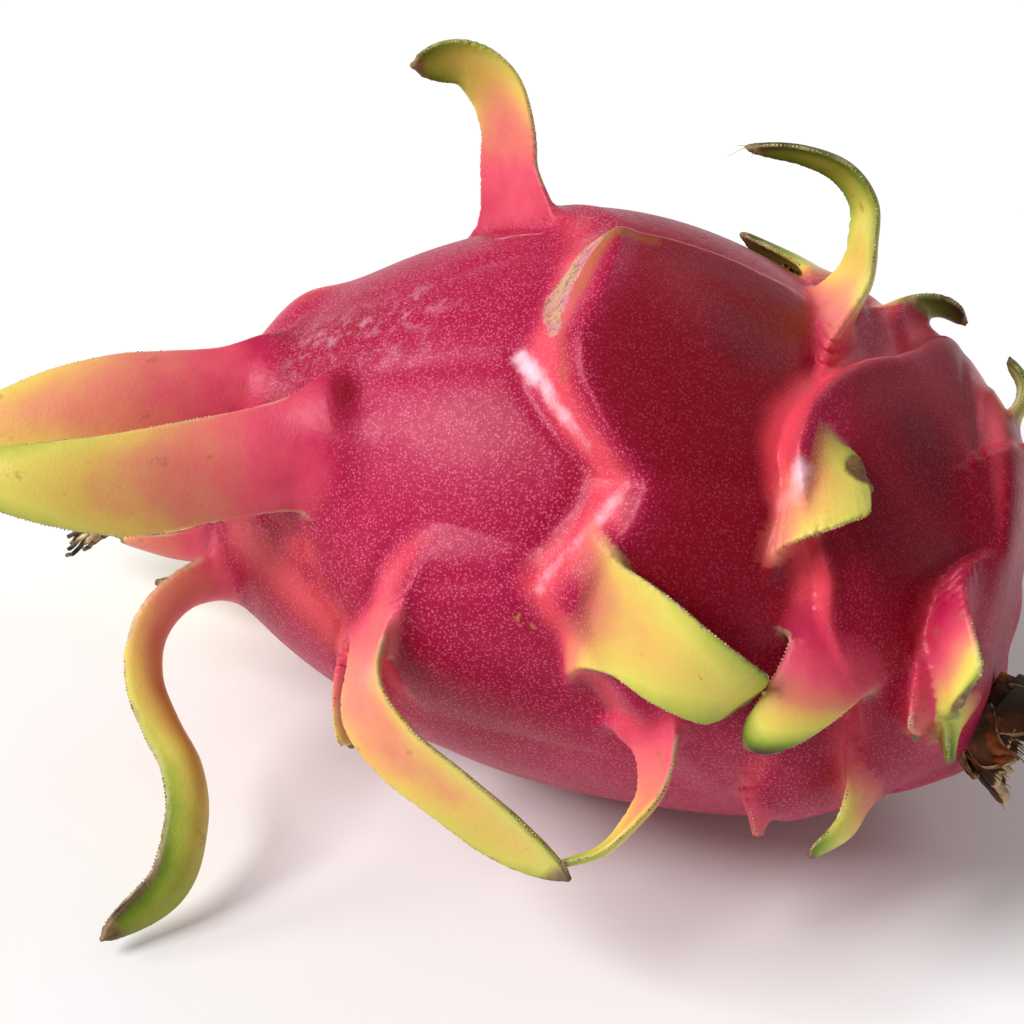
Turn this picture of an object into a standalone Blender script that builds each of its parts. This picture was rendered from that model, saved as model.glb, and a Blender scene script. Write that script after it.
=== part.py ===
"""Dragon fruit lying on its side: one grown skin body with its leafy scales, its cut stem and its dried flower.

The long axis runs along X, flower end at -X and stem end at +X.  The fruit rests on a small flat spot round
the origin.  Shapes are worked out in millimetres and turned into metres when a mesh is made.
"""
import math
import random

import bmesh
import bpy
import numpy as np
from mathutils import Vector

MM = 0.001

# ---- driving dimensions, millimetres and degrees ----
BODY_RADIUS = 42.5          # at the fullest station, before the mounds under the scales
FLOWER_LENGTH = 70.0        # from the fullest station to the point where the flower-end taper would close
STEM_LENGTH = 64.0          # the same towards the stem
FLOWER_FULLNESS = 0.74      # exponent of the taper: smaller is rounder
STEM_FULLNESS = 0.52
FLOWER_END = -62.0          # stations where the skin stops
STEM_END = 60.0
FLOWER_BEND = (-3.0, -3.0)  # how far the axis wanders in Y and Z by each end
STEM_BEND = (-9.5, -6.5)
REST_CUT = 0.6              # depth of the flat spot that the fruit rests on
CENTRE_HEIGHT = BODY_RADIUS - REST_CUT
STATIONS = 34               # rings of the body mesh
AROUND = 56                 # points in a ring
MOUND_LENGTH = 32.0         # how far the swelling behind a scale runs towards the stem
MOUND_HALF_WIDTH = 17.0
FRONT_RUN = 3.0             # half the length of a mound's steep front
FRONT_BOW = 7.0             # how far the front bows back at a mound's sides
SHOWN_RINGS = 11            # rings along a blade, and points in a ring
SHOWN_SIDES = 8
HIDDEN_RINGS = 7
HIDDEN_SIDES = 6
ROOT_SINK = 5.0             # how deep a scale's root is sunk in the body
FLOOR_CLEARANCE = 2.5       # a scale that droops lower is bent along the surface at this height
NAVEL_DEPTH = 2.5           # the flower end closes in a shallow dish
STEM_STUB = 8.0             # length of the woody stub
STEM_ASIDE, STEM_DROP = 4.5, 6.5  # the stub sits this far in front of and under the middle of the stem end
STEM_LEAN = (1.0, -0.35, -0.3)
SEAT_GAP = 0.3              # between the fruit and the dried pieces seated in it
SEED = 11

# Each scale: station and angle of its root, then its spine from the root as (out, towards flower, around),
# width, root flare, tip width share, the share of its length where it starts to draw in, roll at root and
# tip, cup, and the height of the mound behind it.
# Angle 0 faces -Y, 90 faces up.
SCALES = {
    "top_curl": dict(at=(-22, 120), spine=[(8, 3, 0), (14, 4, -1), (20, 7, -2), (23, 12, -4), (21, 19, -6)],
                     width=10.5, flare=0.9, tip=0.55, taper=0.6, roll=(55, 75), cup=0.15, mound=4.0),
    "top_stem_side": dict(at=(28, 103), spine=[(7, -3, 3), (13, -3, 4), (18, -2, 5), (22, 2, 5), (24, 8, 3), (24, 15, 1)],
                          width=8, flare=1.3, tip=0.35, taper=0.5, roll=(20, 50), cup=0.2, mound=5.0),
    "long_droop": dict(at=(-52, -16), spine=[(6, 6, 1), (12, 9, -1), (18, 8, -4), (23, 4, -7), (28, -1, -9),
                                             (35, -4, -12), (45, -4, -15), (55, 3, -16)],
                       width=9, flare=0.8, tip=0.6, taper=0.75, roll=(0, 30), cup=0.25, mound=2.0),
    "low_reflexed": dict(at=(-20, 10), spine=[(7, 1, -4), (12, -2, -7), (15, -8, -11), (16, -15, -15),
                                              (15, -23, -20), (14, -30, -24)],
                         width=13, flare=0.8, tip=0.45, taper=0.75, roll=(0, -30), cup=0.2, mound=4.5),
    "low_thin": dict(at=(17, 4), spine=[(4, -3, -3), (9, -4, -7), (14, -2, -10), (17, 1, -13), (19, 6, -15)],
                     width=8, flare=1.8, tip=0.3, taper=0.35, roll=(0, 50), cup=0.2, mound=4.5),
    "claw": dict(at=(46, -9), spine=[(5, -1, -1), (9, 0, -3), (12, 4, -6)],
                 width=8, flare=1.0, tip=0.25, taper=0.35, roll=(0, 20), cup=0.2, mound=5.0),
    "middle_reflexed": dict(at=(7, 24), spine=[(4, -3, 0), (6, -9, 0), (7, -16, -2), (5, -22, -5), (1, -24, -8)],
                            width=18, flare=0.4, tip=0.7, taper=0.5, roll=(0, 0), cup=0.1, mound=6.0),
    "scarred_stub": dict(at=(1, 74), spine=[(4, 1, -2), (6, 3, -4)],
                         width=22, flare=0.3, tip=0.6, taper=0.35, roll=(0, 0), cup=0.05, mound=7.0),
    "upper_reflexed": dict(at=(34, 56), spine=[(3, -1, 0), (4.5, -4, 0), (4, -7.5, 0), (2.5, -9.5, 0)],
                           width=21, flare=0.2, tip=0.6, taper=0.35, roll=(0, 20), cup=0.12, mound=6.0),
    "low_folded": dict(at=(42, 35), spine=[(5, 1, -5), (8, 3, -11), (8, 4, -15), (5, 6, -19)],
                       width=14, flare=0.6, tip=0.6, taper=0.35, roll=(0, 30), cup=0.2, mound=5.0),
    "stem_flat": dict(at=(53, 52), spine=[(3, -1, -3), (5.5, -4, -7), (7, -6, -11)],
                      width=15, flare=0.3, tip=0.85, taper=0.35, roll=(0, 0), cup=0.1, mound=3.5),
    "stem_curled": dict(at=(56, 22), spine=[(3, -1, -3), (5, -2, -8)],
                        width=7, flare=0.4, tip=0.3, taper=0.35, roll=(0, 0), cup=0.3, mound=1.5),
    "stem_small": dict(at=(53, 24), spine=[(3.5, 0, -3), (5, 0, -6)],
                       width=10, flare=0.3, tip=0.5, taper=0.35, roll=(0, 0), cup=0.2, mound=3.2),
    "crown_top": dict(at=(-50, 62), spine=[(3, 11, -5), (6, 20, -9), (7, 29, -14), (7, 38, -19), (5, 45, -23)],
                      width=14, flare=0.2, tip=0.35, taper=0.6, roll=(0, 20), cup=0.25, mound=3.0),
    "crown_front": dict(at=(-35, 42), spine=[(6, 8, -5), (10, 17, -8), (12, 24, -12), (14, 33, -14),
                                             (15, 43, -15), (14, 50, -16)],
                        width=16.5, flare=0.5, tip=0.4, taper=0.5, roll=(0, 10), cup=0.25, mound=4.5),
    "crown_small": dict(at=(-57, -15), spine=[(1, 8, -2), (0, 17, -4)],
                        width=7, flare=0.6, tip=0.4, taper=0.35, roll=(0, 0), cup=0.2, mound=1.0),
    "crown_behind": dict(at=(-54, 262), spine=[(3, 12, 0), (5, 25, 0), (3, 38, 0), (0, 48, 0)],
                         width=12, flare=0.4, tip=0.4, taper=0.35, roll=(0, 20), cup=0.25, mound=1.0),
    "crown_far_upper": dict(at=(-44, 122), spine=[(3, 4, 0), (5, 9, 0), (5, 14, 0), (3, 18, 0)],
                            width=17, flare=0.4, tip=0.7, taper=0.35, roll=(0, 0), cup=0.25, mound=2.0),
    "crown_far_side": dict(at=(-52, 175), spine=[(2, 8, 4), (0, 18, 9), (-5, 28, 14)],
                           width=12, flare=0.6, tip=0.35, taper=0.35, roll=(0, 0), cup=0.25, mound=2.0),
    "crown_far_lower": dict(at=(-54, 225), spine=[(3, 8, 0), (4, 18, 1), (3, 28, 2)],
                            width=11, flare=0.6, tip=0.35, taper=0.35, roll=(0, 0), cup=0.25, mound=2.0),
    "crown_under": dict(at=(-55, 305), spine=[(2, 7, 0), (3, 15, 2)],
                        width=9, flare=0.6, tip=0.35, taper=0.35, roll=(0, 0), cup=0.25, mound=2.0),
    "edge_rising": dict(at=(49, 131), spine=[(3, -3, 0), (6, -6, 0), (10, -6, 0), (13, -3, 0)],
                        width=8, flare=1.2, tip=0.4, taper=0.35, roll=(0, 20), cup=0.2, mound=4.0),
    "edge_low": dict(at=(54, 118), spine=[(4, -2, 2), (7, -3, 4), (8, -2, 6)],
                     width=11, flare=0.8, tip=0.3, taper=0.35, roll=(0, 0), cup=0.2, mound=4.5),
    "back_flap": dict(at=(25, 133), spine=[(4, 6, 2), (7, 16, 1)],
                      width=12, flare=0.5, tip=0.4, taper=0.35, roll=(0, 0), cup=0.2, mound=3.0),
    "back_reflexed": dict(at=(33, 134), spine=[(4, -3, 1), (6, -7, 2), (5, -11, 3)],
                          width=9, flare=0.6, tip=0.4, taper=0.35, roll=(0, 0), cup=0.2, mound=5.0),
    "back_shoulder": dict(at=(-34, 165), spine=[(3, 6, 1), (2, 13, 4), (0, 18, 7)],
                          width=12, flare=0.6, tip=0.5, taper=0.35, roll=(0, 0), cup=0.2, mound=3.0),
    "low_tongue": dict(at=(-28, -12), spine=[(5, 0, -4), (8, -1, -8)],
                       width=8, flare=0.5, tip=0.7, taper=0.35, roll=(0, 0), cup=0.2, mound=2.5),
    "low_spike": dict(at=(32, -16), spine=[(3, -1, -2), (6, -2, -4)],
                      width=5, flare=0.8, tip=0.2, taper=0.35, roll=(0, 0), cup=0.2, mound=3.5),
}

# Rows of the scales on the far side and underneath: station, first angle, last angle, how many.
HIDDEN_ROWS = [(-30, 200, 245, 2), (-8, 165, 215, 2), (12, 185, 235, 2),
               (30, 185, 225, 2), (45, 175, 290, 3), (53, 160, 330, 4)]


def shape_factor(x):
    """Share of the full radius at station x."""
    if x < 0:
        return max(0.0, 1 - (x / FLOWER_LENGTH) ** 2) ** FLOWER_FULLNESS
    return max(0.0, 1 - (x / STEM_LENGTH) ** 2) ** STEM_FULLNESS


def axis_point(x):
    """Point of the gently bent axis at station x."""
    bend, length = (FLOWER_BEND, FLOWER_LENGTH) if x < 0 else (STEM_BEND, STEM_LENGTH)
    share = (x / length) ** 2
    return Vector((x, bend[0] * share, CENTRE_HEIGHT + bend[1] * share))


def out_direction(angle):
    return Vector((0, -math.cos(math.radians(angle)), math.sin(math.radians(angle))))


def around_direction(angle):
    return Vector((0, math.sin(math.radians(angle)), math.cos(math.radians(angle))))


def mound_height(x, angle, scales):
    """Swelling of the skin at a station and angle.

    Each scale stands on a mound whose steep front lies under the scale and whose long back runs to the stem.
    The front bows back at both sides, so that neighbouring mounds meet in a zigzag ridge round the fruit.
    """
    total = 0.0
    radius = BODY_RADIUS * shape_factor(x)
    for scale in scales:
        root_x, root_angle = scale["at"]
        size = 0.45 + 0.55 * shape_factor(root_x)
        length = MOUND_LENGTH * size
        turn = (angle - root_angle + 180) % 360 - 180
        across = math.radians(turn) * radius / (MOUND_HALF_WIDTH * size)
        back = x - root_x - FRONT_BOW * size * across ** 2
        if abs(across) >= 1 or back <= -FRONT_RUN or back >= length:
            continue
        rise = min(1.0, (back + FRONT_RUN) / (2 * FRONT_RUN))
        rise = rise * rise * (3 - 2 * rise)
        fall = 1 - (max(0.0, back) / length) ** 1.6
        total += (scale["mound"] * rise * fall * (1 - across ** 2)) ** 3
    return total ** (1 / 3)


def skin_point(x, angle, scales=()):
    """Point of the skin, with the mounds of the scales given."""
    radius = BODY_RADIUS * shape_factor(x) + mound_height(x, angle, scales)
    return axis_point(x) + out_direction(angle) * radius


def smooth_path(points, count):
    """Points spread evenly by length along a curve that passes through the points given."""
    padded = [points[0] * 2 - points[1]] + points + [points[-1] * 2 - points[-2]]
    dense = []
    for before, start, end, after in zip(padded, padded[1:], padded[2:], padded[3:]):
        for step in range(12):
            t = step / 12
            dense.append(0.5 * (2 * start + (end - before) * t
                                + (2 * before - 5 * start + 4 * end - after) * t ** 2
                                + (3 * start - before - 3 * end + after) * t ** 3))
    dense.append(points[-1])
    runs = [0.0]
    for a, b in zip(dense, dense[1:]):
        runs.append(runs[-1] + (b - a).length)
    wanted = np.linspace(0, runs[-1], count)
    places = np.array([tuple(p) for p in dense])
    return [Vector([np.interp(w, runs, places[:, k]) for k in range(3)]) for w in wanted], runs[-1]


def add_mesh(name, points, faces, material):
    """An object from millimetre points, its faces turned out, shaded smooth."""
    mesh = bpy.data.meshes.new(name)
    mesh.from_pydata([tuple(Vector(p) * MM) for p in points], [], faces)
    shape = bmesh.new()
    shape.from_mesh(mesh)
    bmesh.ops.recalc_face_normals(shape, faces=shape.faces)
    shape.to_mesh(mesh)
    shape.free()
    mesh.materials.append(material)
    mesh.shade_smooth()
    obj = bpy.data.objects.new(name, mesh)
    bpy.context.scene.collection.objects.link(obj)
    return obj


def add_material(name, colour, roughness, metallic=0.0):
    material = bpy.data.materials.new(name)
    material.use_nodes = True
    shader = material.node_tree.nodes["Principled BSDF"]
    shader.inputs["Base Color"].default_value = (*colour, 1)
    shader.inputs["Roughness"].default_value = roughness
    shader.inputs["Metallic"].default_value = metallic
    material.diffuse_color = (*colour, 1)
    return material


def tube_faces(rings, sides):
    """Side faces of stacked rings and a cap on each end, all facing out, split into triangles."""
    faces = []
    for ring in range(rings - 1):
        for side in range(sides):
            a = ring * sides + side
            b = ring * sides + (side + 1) % sides
            faces += [(a, b, b + sides), (a, b + sides, a + sides)]
    first, last = rings * sides, rings * sides + 1
    for side in range(sides):
        following = (side + 1) % sides
        faces.append((first, following, side))
        faces.append((last, (rings - 1) * sides + side, (rings - 1) * sides + following))
    return faces


def make_body(scales, material):
    """The skin as rings of points from the flower end to the stem end."""
    points = []
    for place in np.linspace(0, 1, STATIONS):
        x = FLOWER_END + (STEM_END - FLOWER_END) * 0.5 * (1 - math.cos(math.pi * (0.04 + 0.92 * place)))
        for side in range(AROUND):
            points.append(skin_point(x, 360 * side / AROUND, scales))
    navel = sum(points[:AROUND], Vector()) / AROUND
    points.append(navel + Vector((NAVEL_DEPTH, 0, 0)))
    points.append(sum(points[-1 - AROUND:-1], Vector()) / AROUND)
    return add_mesh("fruit", points, tube_faces(STATIONS, AROUND), material)


def blade_half_width(scale, t, length):
    """Half width at share t of the blade: flared where it grows from the skin, drawn in to its tip."""
    flare = scale["flare"] * math.exp(-(t * length / 4.5) ** 1.3)
    narrow = max(0.0, (t - scale["taper"]) / (1 - scale["taper"]))
    taper = 1 - (1 - scale["tip"]) * narrow ** 1.4
    end = math.sqrt(max(0.0, 1 - max(0.0, (t - 0.86) / 0.14) ** 2))
    return 0.5 * scale["width"] * (1 + flare) * taper * (0.18 + 0.82 * end)


def blade_half_thickness(t, length):
    return 0.55 + 0.45 * (1 - t) + 2.0 * math.exp(-(t * length / 4.0) ** 1.2)


def blade_rings(scale, rings, sides):
    """Rings of points of a scale from its sunk root to its tip."""
    root_x, angle = scale["at"]
    out, around = out_direction(angle), around_direction(angle)
    flowerward = Vector((-1, 0, 0))
    root = skin_point(root_x, angle)
    spine = [root - out * ROOT_SINK, root]
    for step_out, step_along, step_around in scale["spine"]:
        place = root + out * step_out + flowerward * step_along + around * step_around
        place.z = max(place.z, FLOOR_CLEARANCE)
        spine.append(place)
    places, whole = smooth_path(spine, rings)
    free = whole - ROOT_SINK
    points = []
    across = around.copy()
    for index, place in enumerate(places):
        ahead = places[min(index + 1, rings - 1)] - places[max(index - 1, 0)]
        ahead.normalize()
        across = (across - ahead * across.dot(ahead)).normalized()
        t = max(0.0, (whole * index / (rings - 1) - ROOT_SINK) / free)
        roll = math.radians(scale["roll"][0] + (scale["roll"][1] - scale["roll"][0]) * t)
        normal = ahead.cross(across)
        wide = across * math.cos(roll) + normal * math.sin(roll)
        thick = ahead.cross(wide)
        half_width = blade_half_width(scale, t, free)
        half_thickness = blade_half_thickness(t, free)
        for side in range(sides):
            turn = 2 * math.pi * side / sides
            u = math.copysign(abs(math.cos(turn)) ** 0.8, math.cos(turn))
            v = math.copysign(abs(math.sin(turn)) ** 0.7, math.sin(turn))
            lift = scale["cup"] * half_width * u * u
            points.append(place + wide * (u * half_width) + thick * (v * half_thickness + lift))
    points.append(sum(points[:sides], Vector()) / sides)
    points.append(sum(points[-1 - sides:-1], Vector()) / sides)
    return points


def make_blade(name, scale, rings, sides, material):
    return add_mesh(name, blade_rings(scale, rings, sides), tube_faces(rings, sides), material)


def hidden_scales():
    """Scales of the far side and the underside, set in rows with a little seeded variation."""
    draw = random.Random(SEED)
    found = []
    for x, first, last, count in HIDDEN_ROWS:
        for index in range(count):
            angle = first + (last - first) * index / max(1, count - 1) + draw.uniform(-6, 6)
            reach = draw.uniform(0.8, 1.15) * (1.0 if x < 40 else 0.6)
            lean = draw.uniform(-2, 2)
            found.append(dict(
                at=(x + draw.uniform(-3, 3), angle),
                spine=[(3.5, 5 * reach, 0), (6, 13 * reach, lean), (6.5, 21 * reach, 2 * lean)],
                width=draw.uniform(10, 13) * (0.75 if x > 40 else 1),
                flare=0.6, tip=0.35, taper=0.35, roll=(0, draw.uniform(-15, 15)), cup=0.2, mound=3.5))
    return found


def apply_boolean(target, operation, **operand):
    """Applies a Boolean to the target and leaves one closed mesh.

    The manifold solver is used because, with this many crowded roots, the exact one leaves edges where the
    skin touches itself.
    """
    modifier = target.modifiers.new("join", "BOOLEAN")
    modifier.operation = operation
    modifier.solver = "MANIFOLD"
    for key, value in operand.items():
        setattr(modifier, key, value)
    bpy.context.view_layer.update()
    graph = bpy.context.evaluated_depsgraph_get()
    result = bpy.data.meshes.new_from_object(target.evaluated_get(graph))
    target.modifiers.clear()
    old = target.data
    target.data = result
    bpy.data.meshes.remove(old)


def fuse(body, blades):
    """Joins the blades to the body in one union and removes them."""
    group = bpy.data.collections.new("blades")
    bpy.context.scene.collection.children.link(group)
    for blade in blades:
        group.objects.link(blade)
        bpy.context.scene.collection.objects.unlink(blade)
    apply_boolean(body, "UNION", operand_type="COLLECTION", collection=group)
    for blade in blades:
        bpy.data.objects.remove(blade)
    bpy.data.collections.remove(group)


def make_box(name, low, high):
    corners = [(x, y, z) for x in (low[0], high[0]) for y in (low[1], high[1]) for z in (low[2], high[2])]
    faces = [(0, 1, 3, 2), (4, 6, 7, 5), (0, 4, 5, 1), (2, 3, 7, 6), (0, 2, 6, 4), (1, 5, 7, 3)]
    mesh = bpy.data.meshes.new(name)
    mesh.from_pydata([tuple(Vector(c) * MM) for c in corners], [], faces)
    obj = bpy.data.objects.new(name, mesh)
    bpy.context.scene.collection.objects.link(obj)
    return obj


def make_stem(material):
    """The short woody stub left by the knife, ribbed and a little flared at its torn end."""
    start = axis_point(STEM_END) + Vector((SEAT_GAP, -STEM_ASIDE, -STEM_DROP))
    direction = Vector(STEM_LEAN).normalized()
    rings, sides = 6, 18
    points = []
    for ring in range(rings):
        t = ring / (rings - 1)
        place = start + direction * (STEM_STUB * t)
        for index in range(sides):
            turn = 2 * math.pi * index / sides
            rib = 1 + 0.10 * math.cos(5 * turn) + 0.05 * math.sin(3 * turn + 2 * t)
            radius = (6.0 + 1.5 * t * t) * rib
            points.append(place + Vector((0, math.cos(turn), math.sin(turn))) * radius)
    points.append(sum(points[:sides], Vector()) / sides)
    points.append(sum(points[-1 - sides:-1], Vector()) / sides - direction * 2.0)
    return add_mesh("cut_stem", points, tube_faces(rings, sides), material)


def make_flower(material):
    """The withered flower, a twisted and ribbed stub that bends down from the flower end."""
    bends = ((-63.5, -3, 39), (-68, -6, 37), (-74, -10, 33), (-80, -14, 28), (-85, -16, 24))
    spine = [Vector(bend) for bend in bends]
    rings, sides = 12, 14
    places, _ = smooth_path(spine, rings)
    across = Vector((0, 1, 0))
    points = []
    for ring, place in enumerate(places):
        t = ring / (rings - 1)
        ahead = (places[min(ring + 1, rings - 1)] - places[max(ring - 1, 0)]).normalized()
        across = (across - ahead * across.dot(ahead)).normalized()
        up = ahead.cross(across)
        for index in range(sides):
            turn = 2 * math.pi * index / sides
            rib = 1 + 0.16 * math.cos(4 * turn + 5 * t) + 0.08 * math.sin(7 * turn)
            radius = (3.6 - 1.4 * t + 1.0 * math.sin(math.pi * t) ** 2) * rib
            point = place + (across * math.cos(turn) + up * 0.8 * math.sin(turn)) * radius
            if ring == 0:
                point.x = FLOWER_END - SEAT_GAP
            points.append(point)
    points.append(sum(points[:sides], Vector()) / sides)
    points.append(sum(points[-1 - sides:-1], Vector()) / sides)
    return add_mesh("dried_flower", points, tube_faces(rings, sides), material)


def main():
    for obj in list(bpy.data.objects):
        bpy.data.objects.remove(obj)
    skin = add_material("skin", (0.55, 0.03, 0.12), 0.35)
    wood = add_material("stem_wood", (0.16, 0.09, 0.05), 0.8)
    withered = add_material("withered_flower", (0.50, 0.40, 0.27), 0.85)
    shown, hidden = list(SCALES.values()), hidden_scales()
    body = make_body(shown + hidden, skin)
    blades = [make_blade("blade", scale, SHOWN_RINGS, SHOWN_SIDES, skin) for scale in shown]
    blades += [make_blade("blade", scale, HIDDEN_RINGS, HIDDEN_SIDES, skin) for scale in hidden]
    fuse(body, blades)
    below = make_box("below", (-200, -200, -60), (200, 200, 0))
    apply_boolean(body, "DIFFERENCE", object=below)
    bpy.data.objects.remove(below)
    body.data.shade_smooth()
    make_stem(wood)
    make_flower(withered)


main()
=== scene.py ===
# %% [markdown]
# # A ripe dragon fruit on a pale floor
# The fruit was packed as three plain solids: its skin, its cut stem and its dried flower.  This notebook
# dresses them.  The skin and all its leafy scales are one grown thing, so they are made as one surface
# here too, and the colours of the scales flow out of the colour of the rind.
# Lengths in the helpers are millimetres, because that is how one measures a fruit; they become metres when
# a mesh is made.

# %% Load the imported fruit
import math
import random

import bpy
import numpy as np
from mathutils import Matrix, Vector


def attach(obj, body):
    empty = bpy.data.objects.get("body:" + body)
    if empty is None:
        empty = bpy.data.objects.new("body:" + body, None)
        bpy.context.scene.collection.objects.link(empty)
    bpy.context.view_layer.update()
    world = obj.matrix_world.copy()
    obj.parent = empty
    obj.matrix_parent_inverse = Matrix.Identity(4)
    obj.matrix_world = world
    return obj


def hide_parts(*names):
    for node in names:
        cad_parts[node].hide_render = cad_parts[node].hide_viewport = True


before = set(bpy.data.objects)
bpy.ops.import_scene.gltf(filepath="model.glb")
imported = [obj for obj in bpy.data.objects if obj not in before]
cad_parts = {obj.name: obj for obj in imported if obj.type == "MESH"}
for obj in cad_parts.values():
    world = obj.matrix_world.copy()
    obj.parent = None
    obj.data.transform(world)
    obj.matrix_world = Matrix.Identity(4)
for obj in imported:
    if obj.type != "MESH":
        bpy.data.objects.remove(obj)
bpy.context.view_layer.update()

MM = 0.001

# %% [markdown]
# ## The camera
# It looks a little from the stem side and well down, as one looks at fruit on a table, and it stands so
# close that the crown of scales at the flower end leaves the view on the left.

# %% Camera
AZIMUTH, ELEVATION = math.radians(19), math.radians(40)
CAMERA_DISTANCE = 430 * MM
LENS = 100.8
RIGHT = Vector((math.cos(AZIMUTH), math.sin(AZIMUTH), 0))
UP = Vector((-math.sin(AZIMUTH) * math.sin(ELEVATION), math.cos(AZIMUTH) * math.sin(ELEVATION),
             math.cos(ELEVATION)))
BACK = RIGHT.cross(UP)
AIM = Vector((0, 0, 42.9 * MM)) - RIGHT * 16.2 * MM - UP * 1.05 * MM

camera = bpy.data.objects.new("camera", bpy.data.cameras.new("camera"))
camera.data.lens = LENS
camera.data.sensor_width = 36
camera.data.clip_start = 0.01
turned_camera = Matrix((RIGHT, UP, BACK)).transposed().to_4x4()
camera.matrix_world = Matrix.Translation(AIM + BACK * CAMERA_DISTANCE) @ turned_camera
bpy.context.scene.collection.objects.link(camera)
bpy.context.scene.camera = camera
print("camera at", [round(c, 3) for c in camera.location])

# %% [markdown]
# ## The body without its scales
# A dragon fruit's body is a barrel with a gently bent axis.  The radius at each station follows one formula
# towards the flower and another towards the stem.  Angle 0 faces the front and 90 faces up.

# %% Body profile
BODY_RADIUS = 42.5
FLOWER_LENGTH, STEM_LENGTH = 70.0, 64.0
FLOWER_FULLNESS, STEM_FULLNESS = 0.74, 0.52
FLOWER_END, STEM_END = -62.0, 60.0
FLOWER_BEND, STEM_BEND = (-3.0, -3.0), (-9.5, -6.5)
CENTRE_HEIGHT = BODY_RADIUS - 0.6
FLOOR_CLEARANCE = 2.5


def shape_factor(x):
    """Share of the full radius at stations x."""
    x = np.asarray(x, float)
    flower = np.clip(1 - (x / FLOWER_LENGTH) ** 2, 1e-4, 1) ** FLOWER_FULLNESS
    stem = np.clip(1 - (x / STEM_LENGTH) ** 2, 1e-4, 1) ** STEM_FULLNESS
    return np.where(x < 0, flower, stem)


def axis_at(x):
    """Y and Z of the bent axis at stations x."""
    x = np.asarray(x, float)
    flower, stem = (x / FLOWER_LENGTH) ** 2, (x / STEM_LENGTH) ** 2
    y = np.where(x < 0, FLOWER_BEND[0] * flower, STEM_BEND[0] * stem)
    z = np.where(x < 0, FLOWER_BEND[1] * flower, STEM_BEND[1] * stem)
    return y, z + CENTRE_HEIGHT


def out_and_around(angle):
    """Unit vectors away from the axis and round it, at an angle in degrees."""
    c, s = math.cos(math.radians(angle)), math.sin(math.radians(angle))
    return np.array([0, -c, s]), np.array([0, s, c])


print("radius at the ends, mm:", BODY_RADIUS * shape_factor([FLOWER_END, STEM_END]))
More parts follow.
